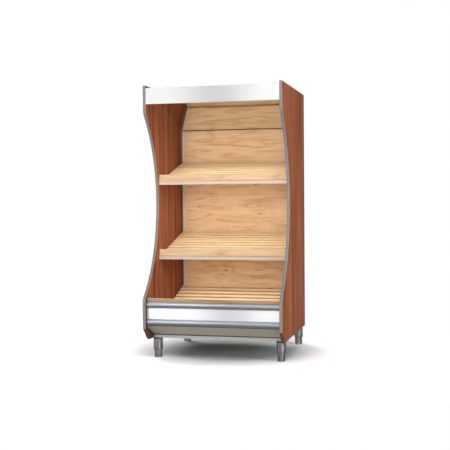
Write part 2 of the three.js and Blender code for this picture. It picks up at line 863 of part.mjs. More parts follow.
// A box-section tie between the brackets, under the rear slats.
function shelfTie(name) {
  const rear = uprightFrontY - bracket.tieSetback;
  const front = rear - bracket.tieWidth;
  const topZ = slatUndersideZ(name, front) - (bearer.depth + slide) / Math.cos(shelf.slope);
  const { tieHeight, tieWall } = bracket;
  const reach = slotX - bracket.plate / 2 - seat;
  const outline = outlineOf(
    rectangle(front, rear, topZ - tieHeight, topZ),
    rectangle(front + tieWall, rear - tieWall, topZ - tieHeight + tieWall, topZ - tieWall),
  );
  return extrudeX(outline, -reach, reach);
}

// The base deck lies on two sloping cleats fixed to the side panels.
function baseDeckGroup() {
  const group = new THREE.Group();
  const { rearZ, footZ, cleatWidth, cleatDepth } = baseDeck;
  const rearY = uprightFrontY - baseDeck.uprightGap;
  const toeClearY = toeFootY - baseFront.thickness;
  const run = rearY - toeClearY;
  const rise = rearZ - footZ;
  const length = Math.hypot(run, rise);
  group.position.set(0, toeClearY, footZ);
  group.rotation.x = Math.atan2(rise, run);
  const halfWidth = innerX - shelf.sideGap;
  group.add(piece("base_grille", slattedDeck(length, halfWidth), materials.lightMaple));
  const topZ = -slat.thickness - seat;
  for (const [name, side] of Object.entries(sides)) {
    const wallX = side * (innerX - seat);
    const inX = wallX - side * cleatWidth;
    const cleatBody = block(
      Math.min(wallX, inX),
      Math.max(wallX, inX),
      0,
      length - slat.width / 2,
      topZ - cleatDepth,
      topZ,
    );
    group.add(piece("base_cleat_" + name, cleatBody, materials.lightMaple));
  }
  return group;
}

// The wooden board across the base front, whose rounded top edge is the base lip.
function baseLipBoard() {
  const { thickness, lowerBumperZ, topZ } = baseFront;
  const { lipRounding, lipRoundingSteps } = shelf;
  const rear = baseFaceY + thickness;
  const outline = outlineOf(
    roundTopRectangle(baseFaceY, rear, lowerBumperZ, topZ, lipRounding, lipRoundingSteps),
  );
  return extrudeX(outline, -innerX + seat, innerX - seat);
}

// A half-round bumper profile, hollow and open at its ends.
function bumper(bottomZ, topZ) {
  const { bumperDepth, bumperWall, bumperFacets } = baseFront;
  const rear = baseFaceY - seat;
  const middleZ = (topZ + bottomZ) / 2;
  const half = (topZ - bottomZ) / 2;
  const bow = (depth, reach, backOff) =>
    arc(0, 0, 1, Math.PI / 2, (3 * Math.PI) / 2, bumperFacets).map(([u, v]) => [
      rear - backOff + u * depth,
      middleZ + v * reach,
    ]);
  const outer = bow(bumperDepth, half, 0);
  const inner = bow(bumperDepth - 2 * bumperWall, half - bumperWall, bumperWall);
  return extrudeX(outlineOf(outer, inner), -innerX + seat, innerX - seat);
}

function baseFrontPanel() {
  const { sheet, lowerBumperTopZ, upperBumperZ } = baseFront;
  const halfWidth = innerX - seat;
  const rear = baseFaceY - seat;
  return block(-halfWidth, halfWidth, rear - sheet, rear, lowerBumperTopZ + seat, upperBumperZ - seat);
}

// The toe panel is a bent sheet: a return under the lower bumper, a slope, and a foot on the pan.
function toePanel() {
  const { topSetback, footReturn, sheet } = toe;
  const topZ = baseFront.lowerBumperZ - seat;
  const footZ = panTopZ + seat;
  const path = [
    [baseFaceY - seat, topZ],
    [rackFrontY + topSetback, topZ],
    [toeFootY, footZ],
    [toeFootY + footReturn, footZ],
  ];
  return extrudeX(bentSheet(path, sheet), -innerX + seat, innerX - seat);
}

// The whole rack.
const rack = new THREE.Group();
rack.name = "produce_display_rack";
for (const [name, side] of Object.entries(sides)) {
  rack.add(
    piece("side_panel_" + name, sidePanel(side), materials.cherryLaminate),
    piece("edge_profile_" + name, edgeMoulding(side), materials.greyMoulding),
    piece("upright_" + name, uprightChannel(side), materials.creamPaint),
  );
}
rack.add(
  ...chassisRails(),
  piece("base_pan", basePan(), materials.panBoard),
  piece("back_panel", backPanel(), materials.lightMaple),
  piece("rear_cover", rearCover(), materials.rearPaint),
  piece("cable_gland", cableGland(), materials.blackPlastic),
  piece("roof_panel", roofPanel(), materials.whiteBoard),
  piece("fascia_panel", fasciaPanel(), materials.whiteSheet),
  mirrorGroup(),
  piece("mirror_cleat", mirrorCleat(), materials.lightMaple),
  lampGroup(),
  shelfGroup("upper"),
  shelfGroup("lower"),
  baseDeckGroup(),
  piece("base_lip_board", baseLipBoard(), materials.lightMaple),
  piece("bumper_upper", bumper(baseFront.upperBumperZ, baseFront.upperBumperTopZ), materials.bumperMetal),
  piece("bumper_lower", bumper(baseFront.lowerBumperZ, baseFront.lowerBumperTopZ), materials.bumperMetal),
  piece("base_front_panel", baseFrontPanel(), materials.whiteSheet),
  piece("toe_panel", toePanel(), materials.greigeSheet),
);
for (const [name, side] of Object.entries(sides)) {
  const x = side * (width / 2 - leg.sideSetback);
  rack.add(
    legPieces("front_" + name, x, rackFrontY + leg.frontSetback),
    legPieces("rear_" + name, x, backY - leg.rearSetback),
  );
}

export default rack;
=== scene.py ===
import json
import math

import bmesh
import bpy
from mathutils import Matrix, Vector


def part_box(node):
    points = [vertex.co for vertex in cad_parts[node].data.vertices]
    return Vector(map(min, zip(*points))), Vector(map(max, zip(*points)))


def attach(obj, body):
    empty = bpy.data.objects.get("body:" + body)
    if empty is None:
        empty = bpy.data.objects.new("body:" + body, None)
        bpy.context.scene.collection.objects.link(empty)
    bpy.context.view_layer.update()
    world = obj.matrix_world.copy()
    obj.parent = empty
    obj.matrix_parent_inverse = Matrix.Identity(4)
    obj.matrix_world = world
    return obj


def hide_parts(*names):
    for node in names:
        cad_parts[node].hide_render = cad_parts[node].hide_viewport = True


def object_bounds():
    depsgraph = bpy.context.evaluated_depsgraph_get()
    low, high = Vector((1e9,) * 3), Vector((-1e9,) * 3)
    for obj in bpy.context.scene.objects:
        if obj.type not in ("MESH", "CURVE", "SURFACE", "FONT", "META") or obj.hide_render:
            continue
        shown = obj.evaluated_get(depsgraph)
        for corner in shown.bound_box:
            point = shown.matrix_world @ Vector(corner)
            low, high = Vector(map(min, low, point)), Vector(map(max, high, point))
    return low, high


# Looks of the produce display rack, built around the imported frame. Lengths are in metres.
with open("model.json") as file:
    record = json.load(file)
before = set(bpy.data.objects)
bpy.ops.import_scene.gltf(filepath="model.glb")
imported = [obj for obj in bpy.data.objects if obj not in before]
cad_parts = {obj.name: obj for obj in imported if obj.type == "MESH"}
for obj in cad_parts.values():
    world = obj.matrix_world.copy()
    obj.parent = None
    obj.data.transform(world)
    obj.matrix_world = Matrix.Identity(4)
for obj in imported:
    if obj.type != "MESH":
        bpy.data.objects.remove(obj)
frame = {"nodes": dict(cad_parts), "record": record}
cad_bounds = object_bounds()
nodes = frame["nodes"]
record = frame["record"]

MM = 0.001
SIDES = {"left": -1, "right": 1}

# Sizes shared with the frame, whose source has the same values.
SEAT = 0.3 * MM
RACK_LOW, RACK_HIGH = cad_bounds
RACK_WIDTH = RACK_HIGH.x - RACK_LOW.x
RACK_TOP = RACK_HIGH.z
FRONT_Y = RACK_LOW.y
PANEL_THICKNESS = 20 * MM
INNER_X = RACK_WIDTH / 2 - PANEL_THICKNESS

# Front edge of the side panels: one concave arc between two upright stretches.
EDGE_TOP_SETBACK = 52 * MM
EDGE_WAIST_SETBACK = 328 * MM
EDGE_WAIST_SHARE = 0.57436
EDGE_RADIUS_SHARE = 0.44205
EDGE_FILLET = 70 * MM
CHAMFER_TOP_Z = 231 * MM
CHAMFER_SETBACK = 91 * MM
PANEL_FOOT_Z = 145 * MM
ARC_STEPS = 120
FILLET_STEPS = 14

# Where the side panels' inner strips of painted shade end.
ROOF_TOP = RACK_TOP - 16 * MM
BASE_FACE_Y = FRONT_Y + 43 * MM
BASE_TOP = 445 * MM

# Slatted decks.
SLAT_WIDTH = 41 * MM
SLAT_THICKNESS = 15 * MM
SLAT_PITCH = 61.5 * MM
SLAT_ROUNDING = 3 * MM
BEARER_WIDTH = 25 * MM
BEARER_DEPTH = 18 * MM
BEARER_ROUNDING = 1.2 * MM
BEARER_SHARE = 0.62
SHELF_SLOPE = math.radians(15)
SHELF_FRONT_GAP = 9 * MM
SHELF_REAR_GAP = 12 * MM
SHELF_SIDE_GAP = 1.5 * MM
DECK_BELOW_LIP = 46.5 * MM
LIP_ROUNDING = 2.5 * MM
BASE_LIP_ROUNDING = 7 * MM
BASE_DECK_FOOT = Vector((0, -0.330, 0.2165))
BASE_DECK_REAR = Vector((0, 0.442, 0.457))

# A rounding takes at most a side's length over this, so that two on one side stay apart.
SPLIT = 2.1

# A screw head's rounding, in shares of its radius and height.
PAN_HEAD = ((0.5, 0.94), (0.85, 0.6))

# Seeds for the tones of the copies.
UPPER_SEED, LOWER_SEED, BASE_SEED, REAR_SEED = 11, 23, 37, 5

# Label rails: the section's wall and tilt, and the painted shadow line along its top.
RAIL_WALL = 1.5 * MM
RAIL_TILT = 1.5 * MM
RAIL_SHADOW_LINE = 3.5 * MM


def shade(red, green, blue):
    """A colour as the screen shows it, 0 to 255, as the linear colour that shaders take."""
    def linear(value):
        share = value / 255
        return share / 12.92 if share <= 0.04045 else ((share + 0.055) / 1.055) ** 2.4
    return (linear(red), linear(green), linear(blue), 1.0)


def dimmed(colour, share):
    """A colour whose channels are brought down to a share."""
    return tuple(channel * share for channel in colour[:3]) + (1.0,)


WHITE = (1.0, 1.0, 1.0, 1.0)

# The span that holds most of a noise's values.
NOISE_SPAN = (0.3, 0.7)

# Waves per metre of the finest textures.
GRIT = 900
SPECKLE = 500
MOULD_GRAIN = 1500
DRAWING = (4, 1400)


def feed(socket, value):
    """Links an output to a socket, or sets the socket to a value."""
    if isinstance(value, bpy.types.NodeSocket):
        socket.id_data.links.new(value, socket)
    else:
        socket.default_value = value


def add_node(tree, kind, inputs=None, **settings):
    """Adds a node with its settings, and with values or links for inputs, by name or number."""
    made = tree.nodes.new(kind)
    for name, value in settings.items():
        setattr(made, name, value)
    for key, value in (inputs or {}).items():
        feed(made.inputs[key], value)
    return made


class Finish:
    """One procedural material, with short ways to add and join its nodes."""

    def __init__(self, name):
        self.material = bpy.data.materials.new(name)
        self.material.use_nodes = True
        self.tree = self.material.node_tree
        self.surface = self.tree.nodes["Principled BSDF"]
        self.place = self.node("TexCoord").outputs["Object"]

    def node(self, kind, inputs=None, **settings):
        return add_node(self.tree, "ShaderNode" + kind, inputs, **settings)

    def stretched(self, scale):
        """The place on the object, scaled along each axis."""
        return self.node("Mapping", {"Vector": self.place, "Scale": scale}).outputs["Vector"]

    def grained(self, along, lengthwise, crosswise):
        """The place on the object, stretched along one axis: 0 for X, 1 for Y, 2 for Z."""
        return self.stretched([lengthwise if axis == along else crosswise for axis in range(3)])

    def noise(self, vector, detail, roughness=0.5):
        inputs = {"Vector": vector, "Scale": 1.0, "Detail": detail, "Roughness": roughness}
        return self.node("TexNoise", inputs).outputs["Fac"]

    def cloud(self, scale, detail=2.0, roughness=0.5):
        """Noise of one scale all round."""
        return self.noise(self.stretched((scale, scale, scale)), detail, roughness)

    def line_noise(self, value, scale, detail):
        inputs = {"W": value, "Scale": scale, "Detail": detail}
        return self.node("TexNoise", inputs, noise_dimensions="1D").outputs["Fac"]

    def math(self, operation, first, second=0.0):
        return self.node("Math", {0: first, 1: second}, operation=operation).outputs[0]

    def times(self, first, second):
        return self.math("MULTIPLY", first, second)

    def weighted(self, *pairs):
        """The sum of some values, each by its share."""
        total, *others = [self.times(value, share) for value, share in pairs]
        for other in others:
            total = self.math("ADD", total, other)
        return total

    def between(self, value, low, high, to_low=0.0, to_high=1.0):
        """Maps a value from one span to another, held at both ends."""
        inputs = {"Value": value, "From Min": low, "From Max": high}
        inputs |= {"To Min": to_low, "To Max": to_high}
        return self.node("MapRange", inputs).outputs["Result"]

    def ramp(self, value, stops):
        made = self.node("ValToRGB", {"Fac": value})
        points = made.color_ramp.elements
        while len(points) < len(stops):
            points.new(0.5)
        for point, (position, colour) in zip(points, stops):
            point.position = position
            point.color = colour
        return made.outputs["Color"]

    def mix(self, share, first, second, blend="MIX"):
        inputs = {0: share, 6: first, 7: second}
        return self.node("Mix", inputs, data_type="RGBA", blend_type=blend).outputs[2]

    def channels(self, red, green, blue):
        return self.node("CombineColor", {"Red": red, "Green": green, "Blue": blue}).outputs[0]

    def parts(self, vector):
        return self.node("SeparateXYZ", {"Vector": vector}).outputs

    def length(self, vector):
        return self.node("VectorMath", {"Vector": vector}, operation="LENGTH").outputs["Value"]

    def facing(self, axis):
        """How squarely the true surface faces along an axis, either way, from 0 to 1."""
        normal = self.node("NewGeometry").outputs["True Normal"]
        return self.math("ABSOLUTE", self.parts(normal)[axis])

    def colour(self, value):
        feed(self.surface.inputs["Base Color"], value)

    def roughness(self, noise, low, high):
        """Roughness that follows a noise, from low to high over the noise's usual span."""
        feed(self.surface.inputs["Roughness"], self.between(noise, *NOISE_SPAN, low, high))

    def fixed(self, name, value):
        """Sets what is the same all over the surface."""
        self.surface.inputs[name].default_value = value

    def bump(self, height, strength, distance):
        inputs = {"Height": height, "Strength": strength, "Distance": distance}
        made = self.node("Bump", inputs)
        feed(self.surface.inputs["Normal"], made.outputs["Normal"])

    def glow(self, strength):
        """Plain white light."""
        return self.node("Emission", {"Color": WHITE, "Strength": strength}).outputs[0]

    def shaders(self, share, first, second):
        """A mix of two shaders."""
        return self.node("MixShader", {0: share, 1: first, 2: second}).outputs[0]

    def output(self, shader):
        feed(self.tree.nodes["Material Output"].inputs["Surface"], shader)


def painted_shade_strips(finish, place):
    """1 on the side panels' inner strips darkened as painted shade: above the roof, before the base, at
    the foot.
    """
    x, y, z = finish.parts(place)
    inner = finish.math("LESS_THAN", finish.math("ABSOLUTE", x), INNER_X + PANEL_THICKNESS / 2)
    above = finish.math("GREATER_THAN", z, ROOF_TOP)
    before = finish.math("LESS_THAN", y, BASE_FACE_Y)
    low = finish.math("LESS_THAN", z, BASE_TOP)
    foot = finish.math("LESS_THAN", z, CHAMFER_TOP_Z)
    upper = finish.math("MAXIMUM", above, finish.times(before, low))
    return finish.times(inner, finish.math("MAXIMUM", upper, foot))


# What a wood's tone is made of: flowing bands, coarse streaks and fine fibres.
BAND_SHARE, COARSE_SHARE, FINE_SHARE = 0.5, 0.35, 0.15

# Detail and roughness of the noises behind them.
FIELD_NOISE, COARSE_NOISE, FINE_NOISE = (1.5, 0.45), (3.0, 0.55), (4.0, 0.6)

# Knots, in shares of a cell: how far the rings swirl, and where the dark core fades out.
KNOT_REACH = 0.36
KNOT_CORE = (0.035, 0.11)
KNOT_DEPTH = 0.55
KNOT_CHANCE = (0.74, 0.79)
KNOT_SCATTER = 0.6

# Each slat's own shift of the pattern, in metres, and its own span of tone.
TONE_SHIFT = 7.0
TONE_LIFT = (0.90, 1.06)

# How squarely a face looks along an axis, where one tone gives way to another.
EDGING_TURN = (0.3, 0.5)
FACE_SHADE_TURN = (0.70, 0.90)
END_TURN = (0.6, 0.8)
GLASS_EDGE_TURN = (0.55, 0.75)


def shifted(finish, shift):
    """The place on the object, moved by the same shift along all three axes."""
    moved = finish.node("CombineXYZ", {"X": shift, "Y": shift, "Z": shift}).outputs[0]
    return finish.node("VectorMath", {0: finish.place, 1: moved}, operation="ADD").outputs[0]


def knot_cells(finish, vector):
    """How far each point is from its cell's knot, and 1 in the cells that have one."""
    inputs = {"Vector": vector, "Scale": 1.0, "Randomness": KNOT_SCATTER}
    cells = finish.node("TexVoronoi", inputs).outputs
    return cells["Distance"], finish.between(finish.parts(cells["Color"])[0], *KNOT_CHANCE)


def figured_wood(name, look):
    """Wood with a flowing figure, fine fibres and end grain, and what else its look names."""
    finish = Finish(name)
    place, along, reach = finish.place, look["along"], look["reach"]
    dark, middle, light = look["tones"]

    def grained(scales):
        return finish.grained(along, *look[scales])

    if "toned" in look:
        tone = finish.node("Attribute", attribute_name="tone").outputs["Fac"]
        finish.place = shifted(finish, finish.times(tone, TONE_SHIFT))
    rings = finish.times(finish.noise(grained("field"), *FIELD_NOISE), look["swing"])
    if "knots" in look:
        from_knot, chosen = knot_cells(finish, grained("knot_field"))
        near = finish.between(from_knot, 0.0, KNOT_REACH, 1.0, 0.0)
        swirl = finish.times(finish.math("POWER", near, 2.0), chosen)
        rings = finish.math("ADD", rings, finish.times(swirl, look["knots"]))
    bands = finish.line_noise(rings, look["bands"], 3.0)
    coarse = finish.noise(grained("coarse"), *COARSE_NOISE)
    fine = finish.noise(grained("fine"), *FINE_NOISE)
    blended = finish.weighted((bands, BAND_SHARE), (coarse, COARSE_SHARE), (fine, FINE_SHARE))
    colour = finish.ramp(blended, [(0.5 - reach, dark), (0.5, middle), (0.5 + reach, light)])
    if "knots" in look:
        core = finish.times(finish.between(from_knot, *KNOT_CORE, 1.0, 0.0), chosen)
        colour = finish.mix(finish.times(core, KNOT_DEPTH), colour, look["knot_colour"])
    if "toned" in look:
        lift = finish.between(tone, 0.0, 1.0, *TONE_LIFT)
        colour = finish.mix(1.0, colour, finish.channels(lift, lift, lift), "MULTIPLY")
    # Dark edge banding on the panel's edges, and painted shade on the side panels' inner strips, in one
    # colour.
    if "edging" in look:
        banded = finish.between(finish.facing(0), *EDGING_TURN, 1.0, 0.0)
        band_and_shade = finish.math("MAXIMUM", banded, painted_shade_strips(finish, place))
        colour = finish.mix(band_and_shade, colour, look["edging"])
    # Faces along Y are darkened: painted shade in the gaps between slats and on the base lip's front.
    if "painted_face_shade" in look:
        faces_shaded = finish.between(finish.facing(1), *FACE_SHADE_TURN)
        colour = finish.mix(faces_shaded, colour, finish.mix(1.0, colour, look["painted_face_shade"], "MULTIPLY"))
    finish.place = place
    end_grain = finish.between(finish.facing(along), *END_TURN)
    pores = finish.cloud(GRIT)
    end_colour = finish.mix(pores, look["end_colour"], dark)
    finish.colour(finish.mix(end_grain, colour, end_colour))
    finish.roughness(fine, *look["gloss"])
    finish.bump(fine, 0.25, 0.15 * MM)
    finish.fixed("Specular IOR Level", look["sheen"])
    return finish.material


# Each wood's look. A pair of scales is along and across the grain, which runs along an axis.
MAPLE_BOARD = {
    "along": 0,
    "tones": (shade(212, 166, 114), shade(240, 203, 158), shade(247, 217, 176)),
    "field": (2.0, 10.0), "swing": 4.5, "bands": 2.2, "reach": 0.155,
    "coarse": (4.0, 60.0), "fine": (30.0, 700.0), "gloss": (0.42, 0.56), "sheen": 0.3,
    "knots": 2.2, "knot_field": (4.0, 9.0), "knot_colour": shade(140, 92, 52),
    "end_colour": shade(214, 172, 124),
}
# The lip's tones are written darker than the board's maple: painted shade against the stronger light on
# the lips.
MAPLE_LIP = {
    "along": 0,
    "tones": (shade(177, 138, 100), shade(196, 162, 127), shade(210, 179, 144)),
    "field": (1.3, 9.0), "swing": 5.0, "bands": 2.0, "reach": 0.14,
    "coarse": (4.0, 80.0), "fine": (30.0, 800.0), "gloss": (0.40, 0.54), "sheen": 0.3,
    "end_colour": shade(214, 172, 124),
}
MAPLE_SLAT = {
    "along": 0,
    "toned": True,
    "tones": (shade(236, 196, 146), shade(252, 223, 179), shade(254, 234, 196)),
    "field": (1.6, 12.0), "swing": 5.0, "bands": 2.0, "reach": 0.15,
    "coarse": (5.0, 90.0), "fine": (30.0, 800.0), "gloss": (0.26, 0.38), "sheen": 0.6,
    "end_colour": shade(222, 182, 132),
    # The slats' front and back faces are darkened as painted shade in the gaps.
    "painted_face_shade": shade(206, 190, 172),
}
CHERRY = {
    "along": 2,
    "tones": (shade(106, 54, 33), shade(143, 82, 54), shade(171, 106, 73)),
    "field": (0.3, 6.0), "swing": 7.0, "bands": 2.4, "reach": 0.11,
    "coarse": (0.6, 16.0), "fine": (12.0, 420.0), "gloss": (0.46, 0.58), "sheen": 0.06,
    "end_colour": shade(74, 52, 42),
    # Dark edge banding, also used as the painted shade on the inner strips.
    "edging": shade(82, 56, 44),
}


def sheet_paint(name, colour, gloss, orange_peel=0.15, metallic=0.0):
    """Painted sheet: a faint mottle in colour and gloss, and powder coat's fine orange peel."""
    finish = Finish(name)
    mottle = finish.cloud(6)
    finish.colour(finish.mix(mottle, dimmed(colour, 0.975), colour))
    grit = finish.cloud(GRIT)
    finish.roughness(mottle, gloss - 0.02, gloss + 0.02)
    finish.bump(grit, orange_peel, 0.05 * MM)
    finish.fixed("Metallic", metallic)
    return finish.material


def drawn_metal(name, colour, along, gloss, metallic=1.0, contrast=0.12):
    """Metal with fine drawing lines along one axis, and a faint cloud."""
    finish = Finish(name)
    lines = finish.noise(finish.grained(along, *DRAWING), 3.0, 0.6)
    cloud = finish.cloud(9)
    share = finish.weighted((lines, 0.7), (cloud, 0.3))
    finish.colour(finish.mix(share, dimmed(colour, 1 - contrast), colour))
    finish.roughness(lines, gloss - 0.05, gloss + 0.07)
    finish.bump(lines, 0.12, 0.03 * MM)
    finish.fixed("Metallic", metallic)
    return finish.material


def moulded_plastic(name, colour, gloss, grain=0.2, shadow_lines=(), line_colour=None):
    """Moulded plastic. A shadow line is painted shade in a darker colour, given by its lower and upper
    height.
    """
    finish = Finish(name)
    cloud = finish.cloud(14)
    body = finish.mix(cloud, dimmed(colour, 0.94), colour)
    height = finish.parts(finish.place)[2]
    for line_low, line_high in shadow_lines:
        above = finish.math("GREATER_THAN", height, line_low)
        below = finish.math("LESS_THAN", height, line_high)
        body = finish.mix(finish.times(above, below), body, line_colour)
    finish.colour(body)
    cells = finish.node("TexVoronoi", {"Vector": finish.stretched((MOULD_GRAIN,) * 3)})
    finish.roughness(cloud, gloss - 0.04, gloss + 0.05)
    finish.bump(cells.outputs["Distance"], grain, 0.04 * MM)
    return finish.material


def mirror_silver():
    """Silvered glass with a faint haze, and green where the sheet shows its edge."""
    finish = Finish("mirror_glass")
    haze = finish.cloud(5, 3.0)
    silver = finish.mix(haze, shade(228, 229, 227), shade(232, 233, 231))
    edge = finish.between(finish.facing(1), *GLASS_EDGE_TURN)
    finish.colour(finish.mix(edge, silver, shade(126, 158, 148)))
    finish.roughness(haze, 0.015, 0.03)
    finish.fixed("Metallic", 1.0)
    return finish.material


def pressed_board(name, colour):
    """Raw fibre board, with speckle."""
    finish = Finish(name)
    speckle = finish.cloud(SPECKLE, 4.0, 0.7)
    cloud = finish.cloud(7)
    share = finish.weighted((speckle, 0.8), (cloud, 0.2))
    finish.colour(finish.mix(share, dimmed(colour, 0.72), colour))
    finish.roughness(speckle, 0.72, 0.88)
    finish.bump(speckle, 0.3, 0.1 * MM)
    return finish.material


def rail_shadow_lines():
    """The heights of the painted shadow lines along the label rails' tops."""
    tops = [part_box(shelf_name + "_price_rail")[1].z for shelf_name in ("upper", "lower")]
    return [(top - RAIL_SHADOW_LINE, top + SEAT) for top in tops]


def made_by(maker, **looks):
    """Materials of one kind, each by its name and its values."""
    return {name: maker(name, *values) for name, values in looks.items()}


MATERIALS = {
    "cherry_laminate": figured_wood("cherry_laminate", CHERRY),
    "light_maple": figured_wood("maple_board", MAPLE_BOARD),
    "maple_slat": figured_wood("maple_slat", MAPLE_SLAT),
    "maple_lip": figured_wood("maple_lip", MAPLE_LIP),
    # The base lip, with its front face darkened as painted shade.
    "base_lip": figured_wood("base_lip", {**MAPLE_LIP, "painted_face_shade": shade(192, 188, 182)}),
    "mirror_glass": mirror_silver(),
    **made_by(
        moulded_plastic,
        grey_moulding=(shade(112, 111, 110), 0.42, 0.1),
        dark_cap=(shade(52, 44, 40), 0.5),
        dark_edging=(shade(84, 62, 52), 0.45),
        # The label rails' cream plastic, with a painted shadow line along each top.
        cream_plastic=(shade(191, 169, 149), 0.35, 0.08, rail_shadow_lines(), shade(140, 122, 106)),
        black_plastic=(shade(30, 30, 30), 0.45),
    ),
    **made_by(
        sheet_paint,
        # bronze_trim: the mirror rail's dark brown is painted shade, standing for the shadow gap under
        # the mirror.
        bronze_trim=(shade(96, 70, 50), 0.45, 0.1, 0.3),
        white_sheet=(shade(242, 242, 242), 0.22, 0.008, 0.6),
        # fascia_sheet: the white sheet made darker, painted shade against the stronger light on the
        # fascia.
        fascia_sheet=(shade(221, 221, 221), 0.22, 0.008, 0.6),
        white_board=(shade(232, 230, 226), 0.5),
        greige_sheet=(shade(170, 160, 147), 0.42, 0.1, 0.15),
        rail_paint=(shade(172, 167, 162), 0.4, 0.2),
        cream_paint=(shade(232, 214, 192), 0.42, 0.2),
        lamp_body=(shade(240, 240, 237), 0.4, 0.05),
        lamp_glass=(shade(250, 249, 244), 0.15, 0.02),
        rear_paint=(shade(201, 199, 195), 0.45, 0.25),
    ),
    **made_by(
        drawn_metal,
        bumper_metal=(shade(172, 177, 185), 0, 0.3, 0.85),
        leg_steel=(shade(176, 176, 177), 2, 0.27, 1.0, 0.05),
    ),
    **made_by(
        pressed_board,
        pan_board=(shade(84, 80, 74),),
        mirror_backing=(shade(140, 118, 94),),
        flag_cloth=(shade(24, 24, 24),),
    ),
}


def in_scene(name, data):
    """Puts a mesh, a lamp or a camera into the scene."""
    made = bpy.data.objects.new(name, data)
    bpy.context.scene.collection.objects.link(made)
    return made


def formed(name, form):
    """A piece from a closed form, its doubles merged and every face turned outwards."""
    bmesh.ops.remove_doubles(form, verts=form.verts, dist=1e-6)
    bmesh.ops.recalc_face_normals(form, faces=form.faces)
    mesh = bpy.data.meshes.new(name)
    form.to_mesh(mesh)
    form.free()
    return in_scene(name, mesh)


def piece_from(name, points, faces):
    """A closed piece from its points and faces."""
    form = bmesh.new()
    made = [form.verts.new(point) for point in points]
    for face in faces:
        form.faces.new([made[index] for index in face])
    return formed(name, form)


def rounded_board(name, low, high, rounding, segments=4):
    """A board between two corners, its edges rounded."""
    low, high = Vector(low), Vector(high)
    form = bmesh.new()
    bmesh.ops.create_cube(form, size=1)
    size = high - low
    for point in form.verts:
        point.co = Vector(a * b for a, b in zip(point.co, size)) + (low + high) / 2
    edges = list(form.edges)
    bmesh.ops.bevel(form, geom=edges, offset=rounding, segments=segments, profile=0.5, affect="EDGES")
    return formed(name, form)


def baked(piece):
    """Turns a piece and its modifiers into a plain mesh."""
    evaluated = piece.evaluated_get(bpy.context.evaluated_depsgraph_get())
    mesh = bpy.data.meshes.new_from_object(evaluated)
    piece.modifiers.clear()
    piece.data = mesh


def ring_faces(rings, size):
    """Faces between neighbouring rings of points, each of the same size and closed on itself."""
    faces = []
    for ring in range(rings - 1):
        for step in range(size):
            after = (step + 1) % size
            low, high = ring * size, (ring + 1) * size
            faces.append([low + step, low + after, high + after, high + step])
    return faces


def extruded(name, outline, x0, x1):
    """An outline of (y, z) points drawn out along X."""
    size = len(outline)
    points = [(x0, y, z) for y, z in outline] + [(x1, y, z) for y, z in outline]
    faces = ring_faces(2, size) + [list(range(size)), list(range(size, 2 * size))]
    return piece_from(name, points, faces)


def turned(name, profile, centre, facets=64, axis="Z"):
    """A body of revolution from (radius, height) pairs. A radius of 0 closes it on its axis."""
    points, rings = [], []
    for radius, height in profile:
        ring = []
        for step in range(facets if radius > 0 else 1):
            angle = 2 * math.pi * step / facets
            ring.append(len(points))
            points.append(Vector((radius * math.cos(angle), radius * math.sin(angle), height)))
        rings.append(ring)
    faces = []
    for low, high in zip(rings, rings[1:]):
        for step in range(facets):
            after = (step + 1) % facets
            lower = [low[step % len(low)], low[after % len(low)]]
            upper = [high[after % len(high)], high[step % len(high)]]
            kept = list(dict.fromkeys(lower + upper))
            if len(kept) > 2:
                faces.append(kept)
    quarter = math.pi / 2
    turns = {
        "X": Matrix.Rotation(quarter, 3, "Y"),
        "Y": Matrix.Rotation(-quarter, 3, "X"),
        "Z": Matrix.Identity(3),
    }
    placed = [turns[axis] @ point + Vector(centre) for point in points]
    return piece_from(name, placed, faces)


def arc(u, v, radius, start, end, steps):
    """Points along an arc about (u, v), from one angle to another."""
    angles = [start + (end - start) * step / steps for step in range(steps + 1)]
    return [(u + radius * math.cos(angle), v + radius * math.sin(angle)) for angle in angles]


def smooth(piece, angle=32):
    """Smooth shading between sharp edges, with the broad faces kept flat."""
    piece.data.shade_smooth()
    piece.data.set_sharp_from_angle(angle=math.radians(angle))
    weighted = piece.modifiers.new("weighted_normals", "WEIGHTED_NORMAL")
    weighted.keep_sharp = True


def fit(piece, body, slot, material=None, replaces=()):
    """Smooths a finished piece and gives it its material, by default the one its slot names, and its
    body, and hides the nodes that it stands for.
    """
    smooth(piece)
    piece.data.materials.clear()
    piece.data.materials.append(MATERIALS[material or slot])
    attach(piece, body)
    if replaces:
        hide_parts(*replaces)


